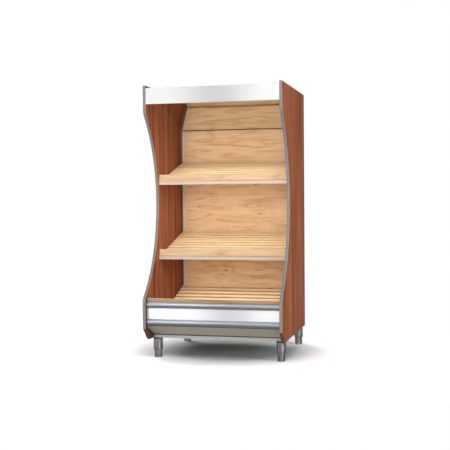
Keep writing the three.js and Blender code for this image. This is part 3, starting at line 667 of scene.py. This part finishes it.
def lattice_tree():
    """Geometry nodes for copies in rows and columns, each with its tone, and their inputs."""
    tree = bpy.data.node_groups.new("lattice", "GeometryNodeTree")
    kinds = {"Piece": "Object", "Start": "Vector", "Rows": "Int", "Row Step": "Vector"}
    kinds |= {"Columns": "Int", "Column Step": "Vector", "Seed": "Int", "Material": "Material"}
    new_socket = tree.interface.new_socket
    identifiers = [
        new_socket(name=name, in_out="INPUT", socket_type="NodeSocket" + kind).identifier
        for name, kind in kinds.items()
    ]
    new_socket(name="Geometry", in_out="OUTPUT", socket_type="NodeSocketGeometry")

    def geometry(kind, inputs, **settings):
        return add_node(tree, "GeometryNode" + kind, inputs, **settings).outputs[0]

    asked = add_node(tree, "NodeGroupInput").outputs
    across = {"Count": asked["Columns"], "Offset": asked["Column Step"]}
    upwards = {"Count": asked["Rows"], "Start Location": asked["Start"], "Offset": asked["Row Step"]}
    columns = geometry("MeshLine", across, mode="OFFSET")
    rows = geometry("MeshLine", upwards, mode="OFFSET")
    grid = geometry("InstanceOnPoints", {"Points": rows, "Instance": columns})
    places = geometry("RealizeInstances", {"Geometry": grid})
    shape = add_node(tree, "GeometryNodeObjectInfo", {"Object": asked["Piece"]}).outputs["Geometry"]
    copies = geometry("InstanceOnPoints", {"Points": places, "Instance": shape})
    drawn = {"ID": add_node(tree, "GeometryNodeInputIndex").outputs[0], "Seed": asked["Seed"]}
    chance = add_node(tree, "FunctionNodeRandomValue", drawn, data_type="FLOAT")
    named = {"Geometry": copies, "Name": "tone"}
    each = {"data_type": "FLOAT", "domain": "INSTANCE"}
    tones = add_node(tree, "GeometryNodeStoreNamedAttribute", named, **each)
    value_input = next(socket for socket in tones.inputs if socket.name == "Value" and socket.enabled)
    value_output = next(socket for socket in chance.outputs if socket.enabled)
    feed(value_input, value_output)
    real = geometry("RealizeInstances", {"Geometry": tones.outputs[0]})
    painted = geometry("SetMaterial", {"Geometry": real, "Material": asked["Material"]})
    add_node(tree, "NodeGroupOutput", {0: painted})
    return tree, identifiers


LATTICE, LATTICE_INPUTS = lattice_tree()


def lattice(
    name, shape, start, rows, row_step, seed, columns=1, column_step=(0, 0, 0), material="maple_slat"
):
    """Copies of a shape in rows and columns, as one plain mesh. The shape is taken away."""
    made = in_scene(name, bpy.data.meshes.new(name))
    modifier = made.modifiers.new("lattice", "NODES")
    modifier.node_group = LATTICE
    values = [shape, tuple(start), rows, tuple(row_step), columns, tuple(column_step)]
    for identifier, value in zip(LATTICE_INPUTS, [*values, seed, MATERIALS[material]]):
        modifier[identifier] = value
    baked(made)
    bpy.data.objects.remove(shape)
    return made


def front_edge(offset, top_z):
    """A side panel's front edge as (y, z) points from the top down, moved inwards by an offset."""
    radius = RACK_TOP * EDGE_RADIUS_SHARE
    centre_y = FRONT_Y + EDGE_WAIST_SETBACK - radius
    centre_z = RACK_TOP * EDGE_WAIST_SHARE
    reach = radius + EDGE_FILLET
    small = EDGE_FILLET - offset

    def fillet(face_y):
        y = face_y + EDGE_FILLET
        rise = math.sqrt(reach ** 2 - (y - centre_y) ** 2)
        return y, rise, math.atan2(rise, y - centre_y)

    top_y, top_rise, top_angle = fillet(FRONT_Y + EDGE_TOP_SETBACK)
    base_y, base_rise, base_angle = fillet(FRONT_Y)
    run, drop = CHAMFER_SETBACK, CHAMFER_TOP_Z - PANEL_FOOT_Z
    slant = math.hypot(run, drop)
    normal_y, normal_z = drop / slant, run / slant
    return [
        (FRONT_Y + EDGE_TOP_SETBACK + offset, top_z),
        *arc(top_y, centre_z + top_rise, small, math.pi, math.pi + top_angle, FILLET_STEPS),
        *arc(centre_y, centre_z, radius + offset, top_angle, -base_angle, ARC_STEPS)[1:-1],
        *arc(base_y, centre_z - base_rise, small, math.pi - base_angle, math.pi, FILLET_STEPS),
        (FRONT_Y + offset, CHAMFER_TOP_Z + offset * (1 - normal_y) / normal_z),
        (FRONT_Y + (offset + drop * normal_z) / normal_y, PANEL_FOOT_Z),
    ]


def swept(name, rings):
    """A closed bar through rings of points, with its two ends capped."""
    size = len(rings[0])
    last = (len(rings) - 1) * size
    faces = ring_faces(len(rings), size) + [list(range(size)), list(range(last, last + size))]
    return piece_from(name, [point for ring in rings for point in ring], faces)


def edge_moulding(side_name, side):
    """T-moulding with a crowned face, swept down the front edge, and its tongue in the groove."""
    name, node = "moulding_" + side_name, "edge_profile_" + side_name
    half, crown, face, lip = PANEL_THICKNESS / 2, 1.3 * MM, 3 * MM, 0.7 * MM
    tongue_half, tongue_depth = 1.5 * MM, 12 * MM
    steps = 12
    shares = [2 * step / steps - 1 for step in range(steps + 1)]
    crowned = [(share * (half - lip), crown * abs(share) ** 3) for share in shares]
    right = [(half, crown + lip), (half, face), (tongue_half, face), (tongue_half, tongue_depth)]
    left = [(-across, depth) for across, depth in reversed(right)]
    section = [*left[2:], *crowned, *right, *left[:2]]
    cap_height, cap_rounding, cap_gap, chamfer_gap_share = 3 * MM, 0.6 * MM, 0.05 * MM, 0.001
    middle_x = side * (RACK_WIDTH / 2 - half)
    edges = [front_edge(depth, RACK_TOP - cap_height) for _, depth in section]
    rings = []
    for place in range(len(edges[0])):
        ring = []
        for (across, _), edge in zip(section, edges):
            y, z = edge[place]
            ring.append((middle_x + across, y, z))
        rings.append(ring)
    fit(swept(name, rings[:-1]), "cabinet", "grey_moulding", replaces=[node])
    corner, foot = rings[-2:]
    below = [Vector(point).lerp(Vector(end), chamfer_gap_share) for point, end in zip(corner, foot)]
    chamfer = swept(name + "_chamfer", [below, foot])
    fit(chamfer, "cabinet", "grey_moulding", "dark_edging", replaces=[node])
    cap_y = FRONT_Y + EDGE_TOP_SETBACK
    cap = rounded_board(
        "moulding_cap_" + side_name,
        (middle_x - half, cap_y, RACK_TOP - cap_height + cap_gap),
        (middle_x + half, cap_y + face, RACK_TOP),
        cap_rounding,
    )
    fit(cap, "cabinet", "grey_moulding", "dark_cap")


def tilted(shape, angle):
    """Turns a shape about the X axis through the origin."""
    shape.data.transform(Matrix.Rotation(angle, 4, "X"))
    return shape


def screw_head(angle, radius=4 * MM, height=1.6 * MM):
    """A pan head that faces up at an angle of 0."""
    rounded = [(radius * out, height * up) for out, up in PAN_HEAD]
    profile = [(0, height), *rounded, (radius, 0), (0, 0)]
    return tilted(turned("screw_shape", profile, (0, 0, 0), facets=12), angle)


def slatted_deck(prefix, body, node, foot, slope, length, half_width, seed):
    """Rounded slats on three bearers, screwed from below."""
    gaps = round((length - SLAT_WIDTH) / SLAT_PITCH)
    pitch = (length - SLAT_WIDTH) / gaps
    up_slope = Vector((0, math.cos(slope), math.sin(slope)))
    step_up = up_slope * pitch
    slat_low, slat_high = (-half_width, 0, -SLAT_THICKNESS), (half_width, SLAT_WIDTH, 0)
    slat = tilted(rounded_board("slat_shape", slat_low, slat_high, SLAT_ROUNDING), slope)
    slats = lattice(prefix + "_slats", slat, foot, gaps + 1, step_up, seed)
    fit(slats, body, "light_maple", "maple_slat", replaces=[node])
    half = BEARER_WIDTH / 2
    bearer_base = -SLAT_THICKNESS - BEARER_DEPTH
    low, high = (-half, SLAT_ROUNDING, bearer_base), (half, length - SLAT_ROUNDING, -SLAT_THICKNESS)
    bearer = tilted(rounded_board("bearer_shape", low, high, BEARER_ROUNDING), slope)
    first_x = -half_width * BEARER_SHARE
    step_x = Vector((-first_x, 0, 0))
    start = Vector(foot) + Vector((first_x, 0, 0))
    bearers = lattice(prefix + "_bearers", bearer, start, 3, step_x, seed + 1)
    fit(bearers, body, "light_maple", "maple_slat", replaces=[node])
    head = screw_head(math.pi + slope)
    off_deck = Vector((0, -math.sin(slope), math.cos(slope)))
    first = start + up_slope * (SLAT_WIDTH / 2) + off_deck * bearer_base
    screws = lattice(
        prefix + "_screws", head, first, gaps + 1, step_up, seed + 2, 3, step_x, "leg_steel"
    )
    fit(screws, body, "leg_steel")


def shelf(name, seed):
    """Deck, lip board and label strip of one shelf. Brackets, tie and rail stay as in the frame."""
    lip_low, lip_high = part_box(name + "_lip_board")
    upright_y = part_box("upright_left")[0].y
    foot_y = lip_high.y + SHELF_FRONT_GAP
    foot_z = lip_high.z - DECK_BELOW_LIP + SHELF_FRONT_GAP * math.tan(SHELF_SLOPE)
    foot = (0, foot_y, foot_z)
    length = (upright_y - SHELF_REAR_GAP - foot_y) / math.cos(SHELF_SLOPE)
    half_width = INNER_X - 2 * SHELF_SIDE_GAP
    slatted_deck(name, name + "_deck", name + "_grille", foot, SHELF_SLOPE, length, half_width, seed)
    lip = rounded_board(name + "_lip", lip_low, lip_high, LIP_ROUNDING)
    fit(lip, name + "_shelf", "light_maple", "maple_lip", replaces=[name + "_lip_board"])
    rail_low, rail_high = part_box(name + "_price_rail")
    strip_y = rail_low.y + RAIL_WALL + RAIL_TILT
    gap, thickness, rounding = 0.1 * MM, 0.9 * MM, 0.2 * MM
    strip_low = (rail_low.x, strip_y + gap, rail_low.z + RAIL_WALL + SEAT)
    strip_high = (rail_high.x, strip_y + gap + thickness, rail_high.z - RAIL_WALL - SEAT)
    strip = rounded_board(name + "_label_strip", strip_low, strip_high, rounding, segments=2)
    fit(strip, name + "_shelf", "cream_plastic")


def base_deck():
    """The base deck, from its foot behind the lip up to its rear edge."""
    run = BASE_DECK_REAR - BASE_DECK_FOOT
    slope, half_width = math.atan2(run.z, run.y), INNER_X - SHELF_SIDE_GAP
    deck = "base", "base_deck", "base_grille"
    slatted_deck(*deck, BASE_DECK_FOOT, slope, run.length, half_width, BASE_SEED)


def bow(name, low, high, depth, half, middle, steps):
    """A half-round bar along X that bulges forwards from its rear face."""
    quarter = math.pi / 2
    round_side = arc(0, 0, 1, quarter, 3 * quarter, steps)
    outline = [(high.y + u * depth, middle + v * half) for u, v in round_side]
    return extruded(name, outline, low.x, high.x)


def base_front():
    """The base lip board and the two half-round bumpers, which are hollow."""
    low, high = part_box("base_lip_board")
    lip = rounded_board("base_lip", low, high, BASE_LIP_ROUNDING, segments=6)
    fit(lip, "cabinet", "light_maple", "base_lip", replaces=["base_lip_board"])
    wall, overrun = 2 * MM, 5 * MM
    for name in ("bumper_upper", "bumper_lower"):
        low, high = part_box(name)
        half, depth = (high.z - low.z) / 2, high.y - low.y
        middle = (high.z + low.z) / 2
        outer = bow(name + "_bow", low, high, depth, half, middle, 40)
        low.x -= overrun
        high += Vector((overrun, -wall, 0))
        hollow = bow(name + "_hollow", low, high, depth - 2 * wall, half - wall, middle, 24)
        cutter = outer.modifiers.new("hollow", "BOOLEAN")
        cutter.object = hollow
        cutter.solver = "EXACT"
        baked(outer)
        bpy.data.objects.remove(hollow)
        fit(outer, "cabinet", "bumper_metal", replaces=[name])


def fascia():
    """The fascia sheet, with its bends drawn round."""
    low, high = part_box("fascia_panel")
    sheet, bend = 2 * MM, 4 * MM
    quarter = math.pi / 2
    steps = 10
    outline = [
        (high.y, low.z),
        (high.y, low.z + sheet),
        *arc(low.y + bend, low.z + bend, bend - sheet, 3 * quarter, 2 * quarter, steps),
        *arc(low.y + bend, high.z - bend, bend - sheet, 2 * quarter, quarter, steps),
        (high.y, high.z - sheet),
        (high.y, high.z),
        *arc(low.y + bend, high.z - bend, bend, quarter, 2 * quarter, steps),
        *arc(low.y + bend, low.z + bend, bend, 2 * quarter, 3 * quarter, steps),
    ]
    bent = extruded("fascia_sheet", outline, low.x, high.x)
    # The fascia takes the darker copy of the white sheet, which is painted shade.
    fit(bent, "cabinet", "white_sheet", "fascia_sheet", replaces=["fascia_panel"])


def rounded_profile(corners, rounding, steps=3):
    """A turned profile whose inner corners are rounded a little."""
    made = [corners[0]]
    for before, corner, after in zip(corners, corners[1:], corners[2:]):
        back, ahead = Vector(before) - Vector(corner), Vector(after) - Vector(corner)
        reach = min(rounding, back.length / SPLIT, ahead.length / SPLIT)
        start = Vector(corner) + back.normalized() * reach
        end = Vector(corner) + ahead.normalized() * reach
        for step in range(steps + 1):
            share = step / steps
            rest = 1 - share
            point = start * rest ** 2 + Vector(corner) * 2 * share * rest + end * share ** 2
            made.append((point.x, point.y))
    made.append(corners[-1])
    return made


def leg(corner):
    """A leg: black flange, steel sleeve with a tapered end, and the screw foot with its thread."""
    flange_low, flange_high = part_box("leg_flange_" + corner)
    sleeve_low, sleeve_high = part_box("leg_tube_" + corner)
    foot_low, foot_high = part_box("leg_foot_" + corner)
    centre = (sleeve_low + sleeve_high) / 2
    centre.z = 0
    flange_r = (flange_high.x - flange_low.x) / 2
    sleeve_r = (sleeve_high.x - sleeve_low.x) / 2
    foot_r = (foot_high.x - foot_low.x) / 2
    boss_r, rim, flange_rounding, steel_rounding = 22 * MM, 7 * MM, 1.2 * MM, 0.8 * MM
    rim_z = flange_high.z - rim
    boss = [(0, flange_low.z), (boss_r, flange_low.z), (boss_r, rim_z)]
    flange_corners = [*boss, (flange_r, rim_z), (flange_r, flange_high.z), (0, flange_high.z)]
    flange = turned("flange_" + corner, rounded_profile(flange_corners, flange_rounding), centre)
    fit(flange, "cabinet", "black_plastic", replaces=["leg_flange_" + corner])
    wall, taper, screw_r, nut = 2 * MM, 6 * MM, 8 * MM, 8 * MM
    bore_r, nut_r = sleeve_r - wall, screw_r + 0.5 * MM
    nut_z = sleeve_low.z + nut
    end, taper_end = (nut_r, sleeve_low.z), (sleeve_r, sleeve_low.z + taper)
    top = [(sleeve_r, sleeve_high.z), (bore_r, sleeve_high.z)]
    outside = rounded_profile([end, (foot_r, sleeve_low.z), taper_end, *top], steel_rounding)
    sleeve = [end, *outside, (bore_r, nut_z), (nut_r, nut_z), end]
    tube = turned("sleeve_" + corner, sleeve, centre)
    fit(tube, "cabinet", "leg_steel", replaces=["leg_tube_" + corner])
    step, pad = 1.5 * MM, 4 * MM
    foot_top = sleeve_low.z - SEAT
    disc = [(0, 0), (foot_r - step, 0), (foot_r, step), (foot_r, pad), (foot_r - step, pad)]
    neck = [(foot_r - step, foot_top), (screw_r, foot_top)]
    body = rounded_profile([*disc, *neck], steel_rounding)
    thread_pitch, root_r = 2 * MM, screw_r - 0.8 * MM
    root_share, crest_share = 0.1, 0.6
    thread = []
    for turn in range(int((foot_high.z - foot_top) / thread_pitch)):
        z = foot_top + turn * thread_pitch
        thread += [(root_r, z + root_share * thread_pitch), (screw_r, z + crest_share * thread_pitch)]
    screw = [*thread, (root_r, foot_high.z), (0, foot_high.z)]
    foot = turned("foot_" + corner, [*body[:-1], *screw], centre)
    fit(foot, "foot_" + corner, "leg_steel", replaces=["leg_foot_" + corner])


def rod_profile(radius, start, end, rounding):
    """The turned profile of a plain rod with rounded rims."""
    return rounded_profile([(0, start), (radius, start), (radius, end), (0, end)], rounding)


def lamp():
    """The lamp's glass tube and its metal end caps."""
    low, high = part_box("lamp_tube")
    radius, reach = (high.y - low.y) / 2, (high.x - low.x) / 2
    centre = (low + high) / 2
    cap, cap_wall = 14 * MM, 0.6 * MM
    glass = rod_profile(radius - cap_wall, -reach + cap, reach - cap, 1 * MM)
    tube = turned("lamp_tube_glass", glass, centre, axis="X")
    fit(tube, "cabinet", "lamp_glass", replaces=["lamp_tube"])
    for name, side in SIDES.items():
        start, end = sorted([side * (reach - cap), side * reach])
        profile = rod_profile(radius, start, end, 1.5 * MM)
        fit(turned("lamp_cap_" + name, profile, centre, axis="X"), "cabinet", "leg_steel")


def rear_screws():
    """Screws along the rear cover's two upright edges."""
    low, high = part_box("rear_cover")
    inset, head_radius, head_height, rows = 14 * MM, 4 * MM, 1.4 * MM, 8
    shape = screw_head(-math.pi / 2, head_radius, head_height)
    row_step = (0, 0, (high.z - low.z - 2 * inset) / (rows - 1))
    start = (low.x + inset, high.y - head_height, low.z + inset)
    columns = 2, (high.x - low.x - 2 * inset, 0, 0)
    screws = lattice("rear_screws", shape, start, rows, row_step, REAR_SEED, *columns, "leg_steel")
    fit(screws, "cabinet", "leg_steel")


def gland():
    """The cable gland in the rear cover, with its bore."""
    low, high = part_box("cable_gland")
    centre = (low + high) / 2
    centre.y = high.y
    outer, bore, depth = (high.x - low.x) / 2, 4.5 * MM, high.y - low.y
    outer_rounding, bore_rounding = 0.8 * MM, 1 * MM
    outside = [(bore, -depth), (outer, -depth), (outer, -outer_rounding), (outer - outer_rounding, 0)]
    profile = [*outside, (bore + bore_rounding, 0), (bore, -bore_rounding), (bore, -depth)]
    ring = turned("gland", profile, centre, axis="Y")
    fit(ring, "cabinet", "black_plastic", replaces=["cable_gland"])


def rail_plugs():
    """Flush plugs in the open ends of the chassis' side rails."""
    wall, length, rounding = 2 * MM, 12 * MM, 0.6 * MM
    inset = wall + SEAT
    for name in SIDES:
        low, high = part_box("frame_rail_" + name)
        ends = {"front": (low.y, low.y + length), "rear": (high.y - length, high.y)}
        for end, (near, far) in ends.items():
            plug_low = (low.x + inset, near, low.z + inset)
            plug_high = (high.x - inset, far, high.z - inset)
            plug = rounded_board("rail_plug_" + name + "_" + end, plug_low, plug_high, rounding, 2)
            fit(plug, "cabinet", "rail_paint")


def paint_frame():
    """Gives every node that stays its finish, by the record's slots."""
    for part in record["subparts"]:
        node = nodes[part["node"]]
        node.data.materials.clear()
        node.data.materials.append(MATERIALS[part["material_slot"]])


def flat_piece(name, half_width, half_height, place=(0, 0, 0), turn=Matrix.Identity(3)):
    """A flat rectangle."""
    signs = ((-1, -1), (1, -1), (1, 1), (-1, 1))
    corners = [turn @ Vector((x * half_width, y * half_height, 0)) + Vector(place) for x, y in signs]
    mesh = bpy.data.meshes.new(name)
    mesh.from_pydata(corners, [], [(0, 1, 2, 3)])
    return in_scene(name, mesh)


# Brightness of the even light, of the floor under the rack where painted shade darkens it, away from
# it, and near it as gloss sees it, darkened there as a painted reflection of shade.
AMBIENT, FLOOR_UNDER, FLOOR_SEEN, FLOOR_GLOSS = 0.15, 0.44, 1.6, 0.16

# Metres from the rack's middle, over which the painted shade under it ends, the floor turns to plain
# white, and gloss sees it white. In depth the painted shade ends sooner, and behind the rack gloss
# counts a quarter.
SHADE_SPAN, WHITE_SPAN, GLOSS_SPAN = (0.35, 0.90), (1.1, 2.1), (1.2, 2.2)
SHADE_IN_DEPTH, GLOSS_BEHIND = 1.15, 0.25
FLOOR_REACH, FLOOR_RED = 40, 0.985


def studio_floor():
    """A pale floor that the camera sees as white, with the rack's cast shadow on it and painted shade
    under the rack.
    """
    floor = flat_piece("studio_floor", FLOOR_REACH, FLOOR_REACH)
    finish = Finish("studio_floor")
    cloud = finish.cloud(3)
    finish.colour(finish.mix(cloud, shade(238, 238, 238), shade(242, 242, 242)))
    finish.roughness(cloud, 0.85, 0.95)
    # Under the rack the floor's colour is darkened: painted shade.
    shaded = finish.length(finish.stretched((1.0, SHADE_IN_DEPTH, 1.0)))
    level = finish.between(shaded, *SHADE_SPAN, FLOOR_UNDER, FLOOR_SEEN)
    pale = finish.channels(finish.times(level, FLOOR_RED), level, level)
    near = finish.node("BsdfDiffuse", {"Color": pale}).outputs[0]
    away = finish.between(finish.length(finish.place), *WHITE_SPAN)
    direct = finish.shaders(away, near, finish.glow(1.0))
    # Near the rack the floor shows dark in gloss: a painted reflection of shade.
    across, along, _ = finish.parts(finish.place)
    behind = finish.math("MINIMUM", along, finish.times(along, GLOSS_BEHIND))
    outward = finish.node("CombineXYZ", {"X": across, "Y": behind}).outputs[0]
    shown = finish.between(finish.length(outward), *GLOSS_SPAN, FLOOR_GLOSS, 1.0)
    in_gloss = finish.node("LightPath").outputs["Is Glossy Ray"]
    seen = finish.shaders(in_gloss, direct, finish.glow(shown))
    finish.output(finish.shaders(seen_directly(finish.tree), finish.surface.outputs[0], seen))
    floor.data.materials.append(finish.material)


def seen_directly(tree):
    """1 for what is seen, straight or in metal, gloss and glass, and 0 for light on the object."""
    path = add_node(tree, "ShaderNodeLightPath").outputs
    total = path["Is Camera Ray"]
    for name in ("Is Glossy Ray", "Is Transmission Ray"):
        either = {0: total, 1: path[name]}
        total = add_node(tree, "ShaderNodeMath", either, operation="MAXIMUM").outputs[0]
    return total


def studio_world():
    """Even light all round, and a white background where it is seen."""
    world = bpy.data.worlds.new("studio")
    bpy.context.scene.world = world
    world.use_nodes = True
    tree = world.node_tree
    tree.nodes.clear()
    ambient, white = [
        add_node(tree, "ShaderNodeBackground", {"Color": WHITE, "Strength": strength}).outputs[0]
        for strength in (AMBIENT, 1.0)
    ]
    split = add_node(tree, "ShaderNodeMixShader", {0: seen_directly(tree), 1: ambient, 2: white})
    add_node(tree, "ShaderNodeOutputWorld", {"Surface": split.outputs[0]})


def soft_lamp(name, place, target, size, level, gloss=True):
    """A soft lamp. Its level is how bright it makes a white surface that faces it at the target."""
    ray = Vector(target) - Vector(place)
    data = bpy.data.lights.new(name, "AREA")
    data.shape = "RECTANGLE"
    data.size, data.size_y = size
    data.energy = level * (math.pi * ray.length) ** 2
    made = in_scene(name, data)
    made.location = place
    made.rotation_euler = ray.to_track_quat("-Z", "Y").to_euler()
    made.visible_camera = False
    made.visible_glossy = gloss
    return made


def gloss_strip(name, place, target, size, level):
    """A strip lamp that only gloss shows, for the streak along round metal."""
    soft_lamp(name, place, target, size, level).visible_diffuse = False


def shelf_lamp(name, depth, height, target_z, level):
    """A soft downward fill under a shelf, which gloss doesn't show."""
    size, spread = (0.80, 0.30), math.radians(96)
    made = soft_lamp(name, (0, depth, height), (0, depth, target_z), size, level, gloss=False)
    made.data.spread = spread


def dark_flag(name, place, target, size, cloth="flag_cloth"):
    """A studio flag that only gloss shows. It throws no shadow and isn't seen itself."""
    turn = (Vector(target) - Vector(place)).to_track_quat("-Z", "Y").to_matrix()
    flag = flat_piece(name, size[0] / 2, size[1] / 2, place, turn)
    flag.data.materials.append(MATERIALS[cloth])
    flag.visible_camera = False
    flag.visible_diffuse = False
    flag.visible_shadow = False


def soft_flag(name, place, half_width, half_height, depth):
    """A grey flag with soft sides, as bright at its rim as the white background behind it."""
    core_across, core_up = 0.2 * half_width, 0.6 * half_height
    finish = Finish(name)
    across, _, up = finish.parts(finish.place)
    aside = finish.math("ABSOLUTE", finish.math("SUBTRACT", across, place[0]))
    above = finish.math("ABSOLUTE", finish.math("SUBTRACT", up, place[2]))
    shade_across = finish.between(aside, core_across, half_width, depth, 0.0)
    shade_up = finish.between(above, core_up, half_height, 1.0, 0.0)
    level = finish.math("SUBTRACT", 1.0, finish.times(shade_across, shade_up))
    finish.output(finish.glow(level))
    MATERIALS[name] = finish.material
    dark_flag(name, place, (place[0], 0, place[2]), (2 * half_width, 2 * half_height), name)


def studio_lamps():
    """Every lamp and flag of the studio, by its place, target, size and level."""
    middle = (0, 0, 1.0)
    soft_lamp("lamp_front", (0.3, -7.3, 2.2), middle, (4.0, 3.0), 0.52, gloss=False)
    soft_lamp("lamp_high", (0.6, -5.2, 5.4), middle, (3.6, 2.6), 0.54, gloss=False)
    soft_lamp("lamp_left", (-4.0, -2.5, 2.0), middle, (2.2, 2.6), 0.04)
    soft_lamp("lamp_right", (5.0, -2.0, 1.8), middle, (2.4, 2.6), 0.56)
    soft_lamp("lamp_rear", (-3.6, 4.2, 3.2), middle, (3.0, 2.4), 0.45)
    gloss_strip("strip_legs", (2.1, -2.8, 0.3), (0.3, -0.3, 0.1), (0.22, 0.6), 0.20)
    gloss_strip("strip_legs_left", (-1.9, -2.6, 0.3), (-0.3, -0.3, 0.1), (0.22, 0.6), 0.07)
    gloss_strip("strip_bumpers", (-0.66, -1.9, 1.27), (-0.20, -0.5, 0.35), (0.40, 0.56), 0.105)
    shelf_lamp("lamp_upper_deck", 0.08, 1.66, 1.40, 0.95)
    shelf_lamp("lamp_lower_deck", 0.08, 1.22, 0.83, 0.24)
    shelf_lamp("lamp_base_deck", 0.10, 0.69, 0.36, 0.74)
    dark_flag("flag_rear", (2.4, 2.2, 1.7), (0.5, 0.2, 1.7), (4.4, 3.4))
    soft_flag("flag_fascia", (-0.19, -1.3, 1.98), 0.37, 0.60, 0.78)
    soft_flag("flag_base", (-0.08, -1.3, 0.33), 0.30, 0.32, 0.80)
    dark_flag("flag_side", (2.6, 0.6, 0.3), (0, 0.6, 0.3), (3.6, 0.6))


# The fitted camera: its turns in radians, its place in metres, its lens and sensor in millimetres.
YAW, PITCH, ROLL = 0.24373, 0.03277, -0.0082
CAMERA_PLACE = (1.5954, -6.4939, 1.1697)
CAMERA_LENS, CAMERA_SENSOR = 71.82, 36


def photo_camera():
    """The camera that was fitted to lines of the photograph."""
    run = math.cos(PITCH)
    forward = Vector((-math.sin(YAW) * run, math.cos(YAW) * run, -math.sin(PITCH)))
    level_right = Vector((math.cos(YAW), math.sin(YAW), 0))
    level_up = level_right.cross(forward)
    right = level_right * math.cos(ROLL) + level_up * math.sin(ROLL)
    up = level_up * math.cos(ROLL) - level_right * math.sin(ROLL)
    data = bpy.data.cameras.new("photo_camera")
    data.sensor_width = CAMERA_SENSOR
    data.lens = CAMERA_LENS
    data.clip_end = 200
    camera = in_scene("photo_camera", data)
    turn = Matrix((right, up, -forward)).transposed().to_4x4()
    camera.matrix_world = Matrix.Translation(CAMERA_PLACE) @ turn
    bpy.context.scene.camera = camera


photo_camera()
paint_frame()
for side_name, side in SIDES.items():
    edge_moulding(side_name, side)
fascia()
shelf("upper", UPPER_SEED)
shelf("lower", LOWER_SEED)
base_deck()
base_front()
for corner in ("front_left", "front_right", "rear_left", "rear_right"):
    leg(corner)
lamp()
gland()
rear_screws()
rail_plugs()
studio_floor()
studio_world()
studio_lamps()
bpy.context.scene.view_settings.view_transform = "Standard"
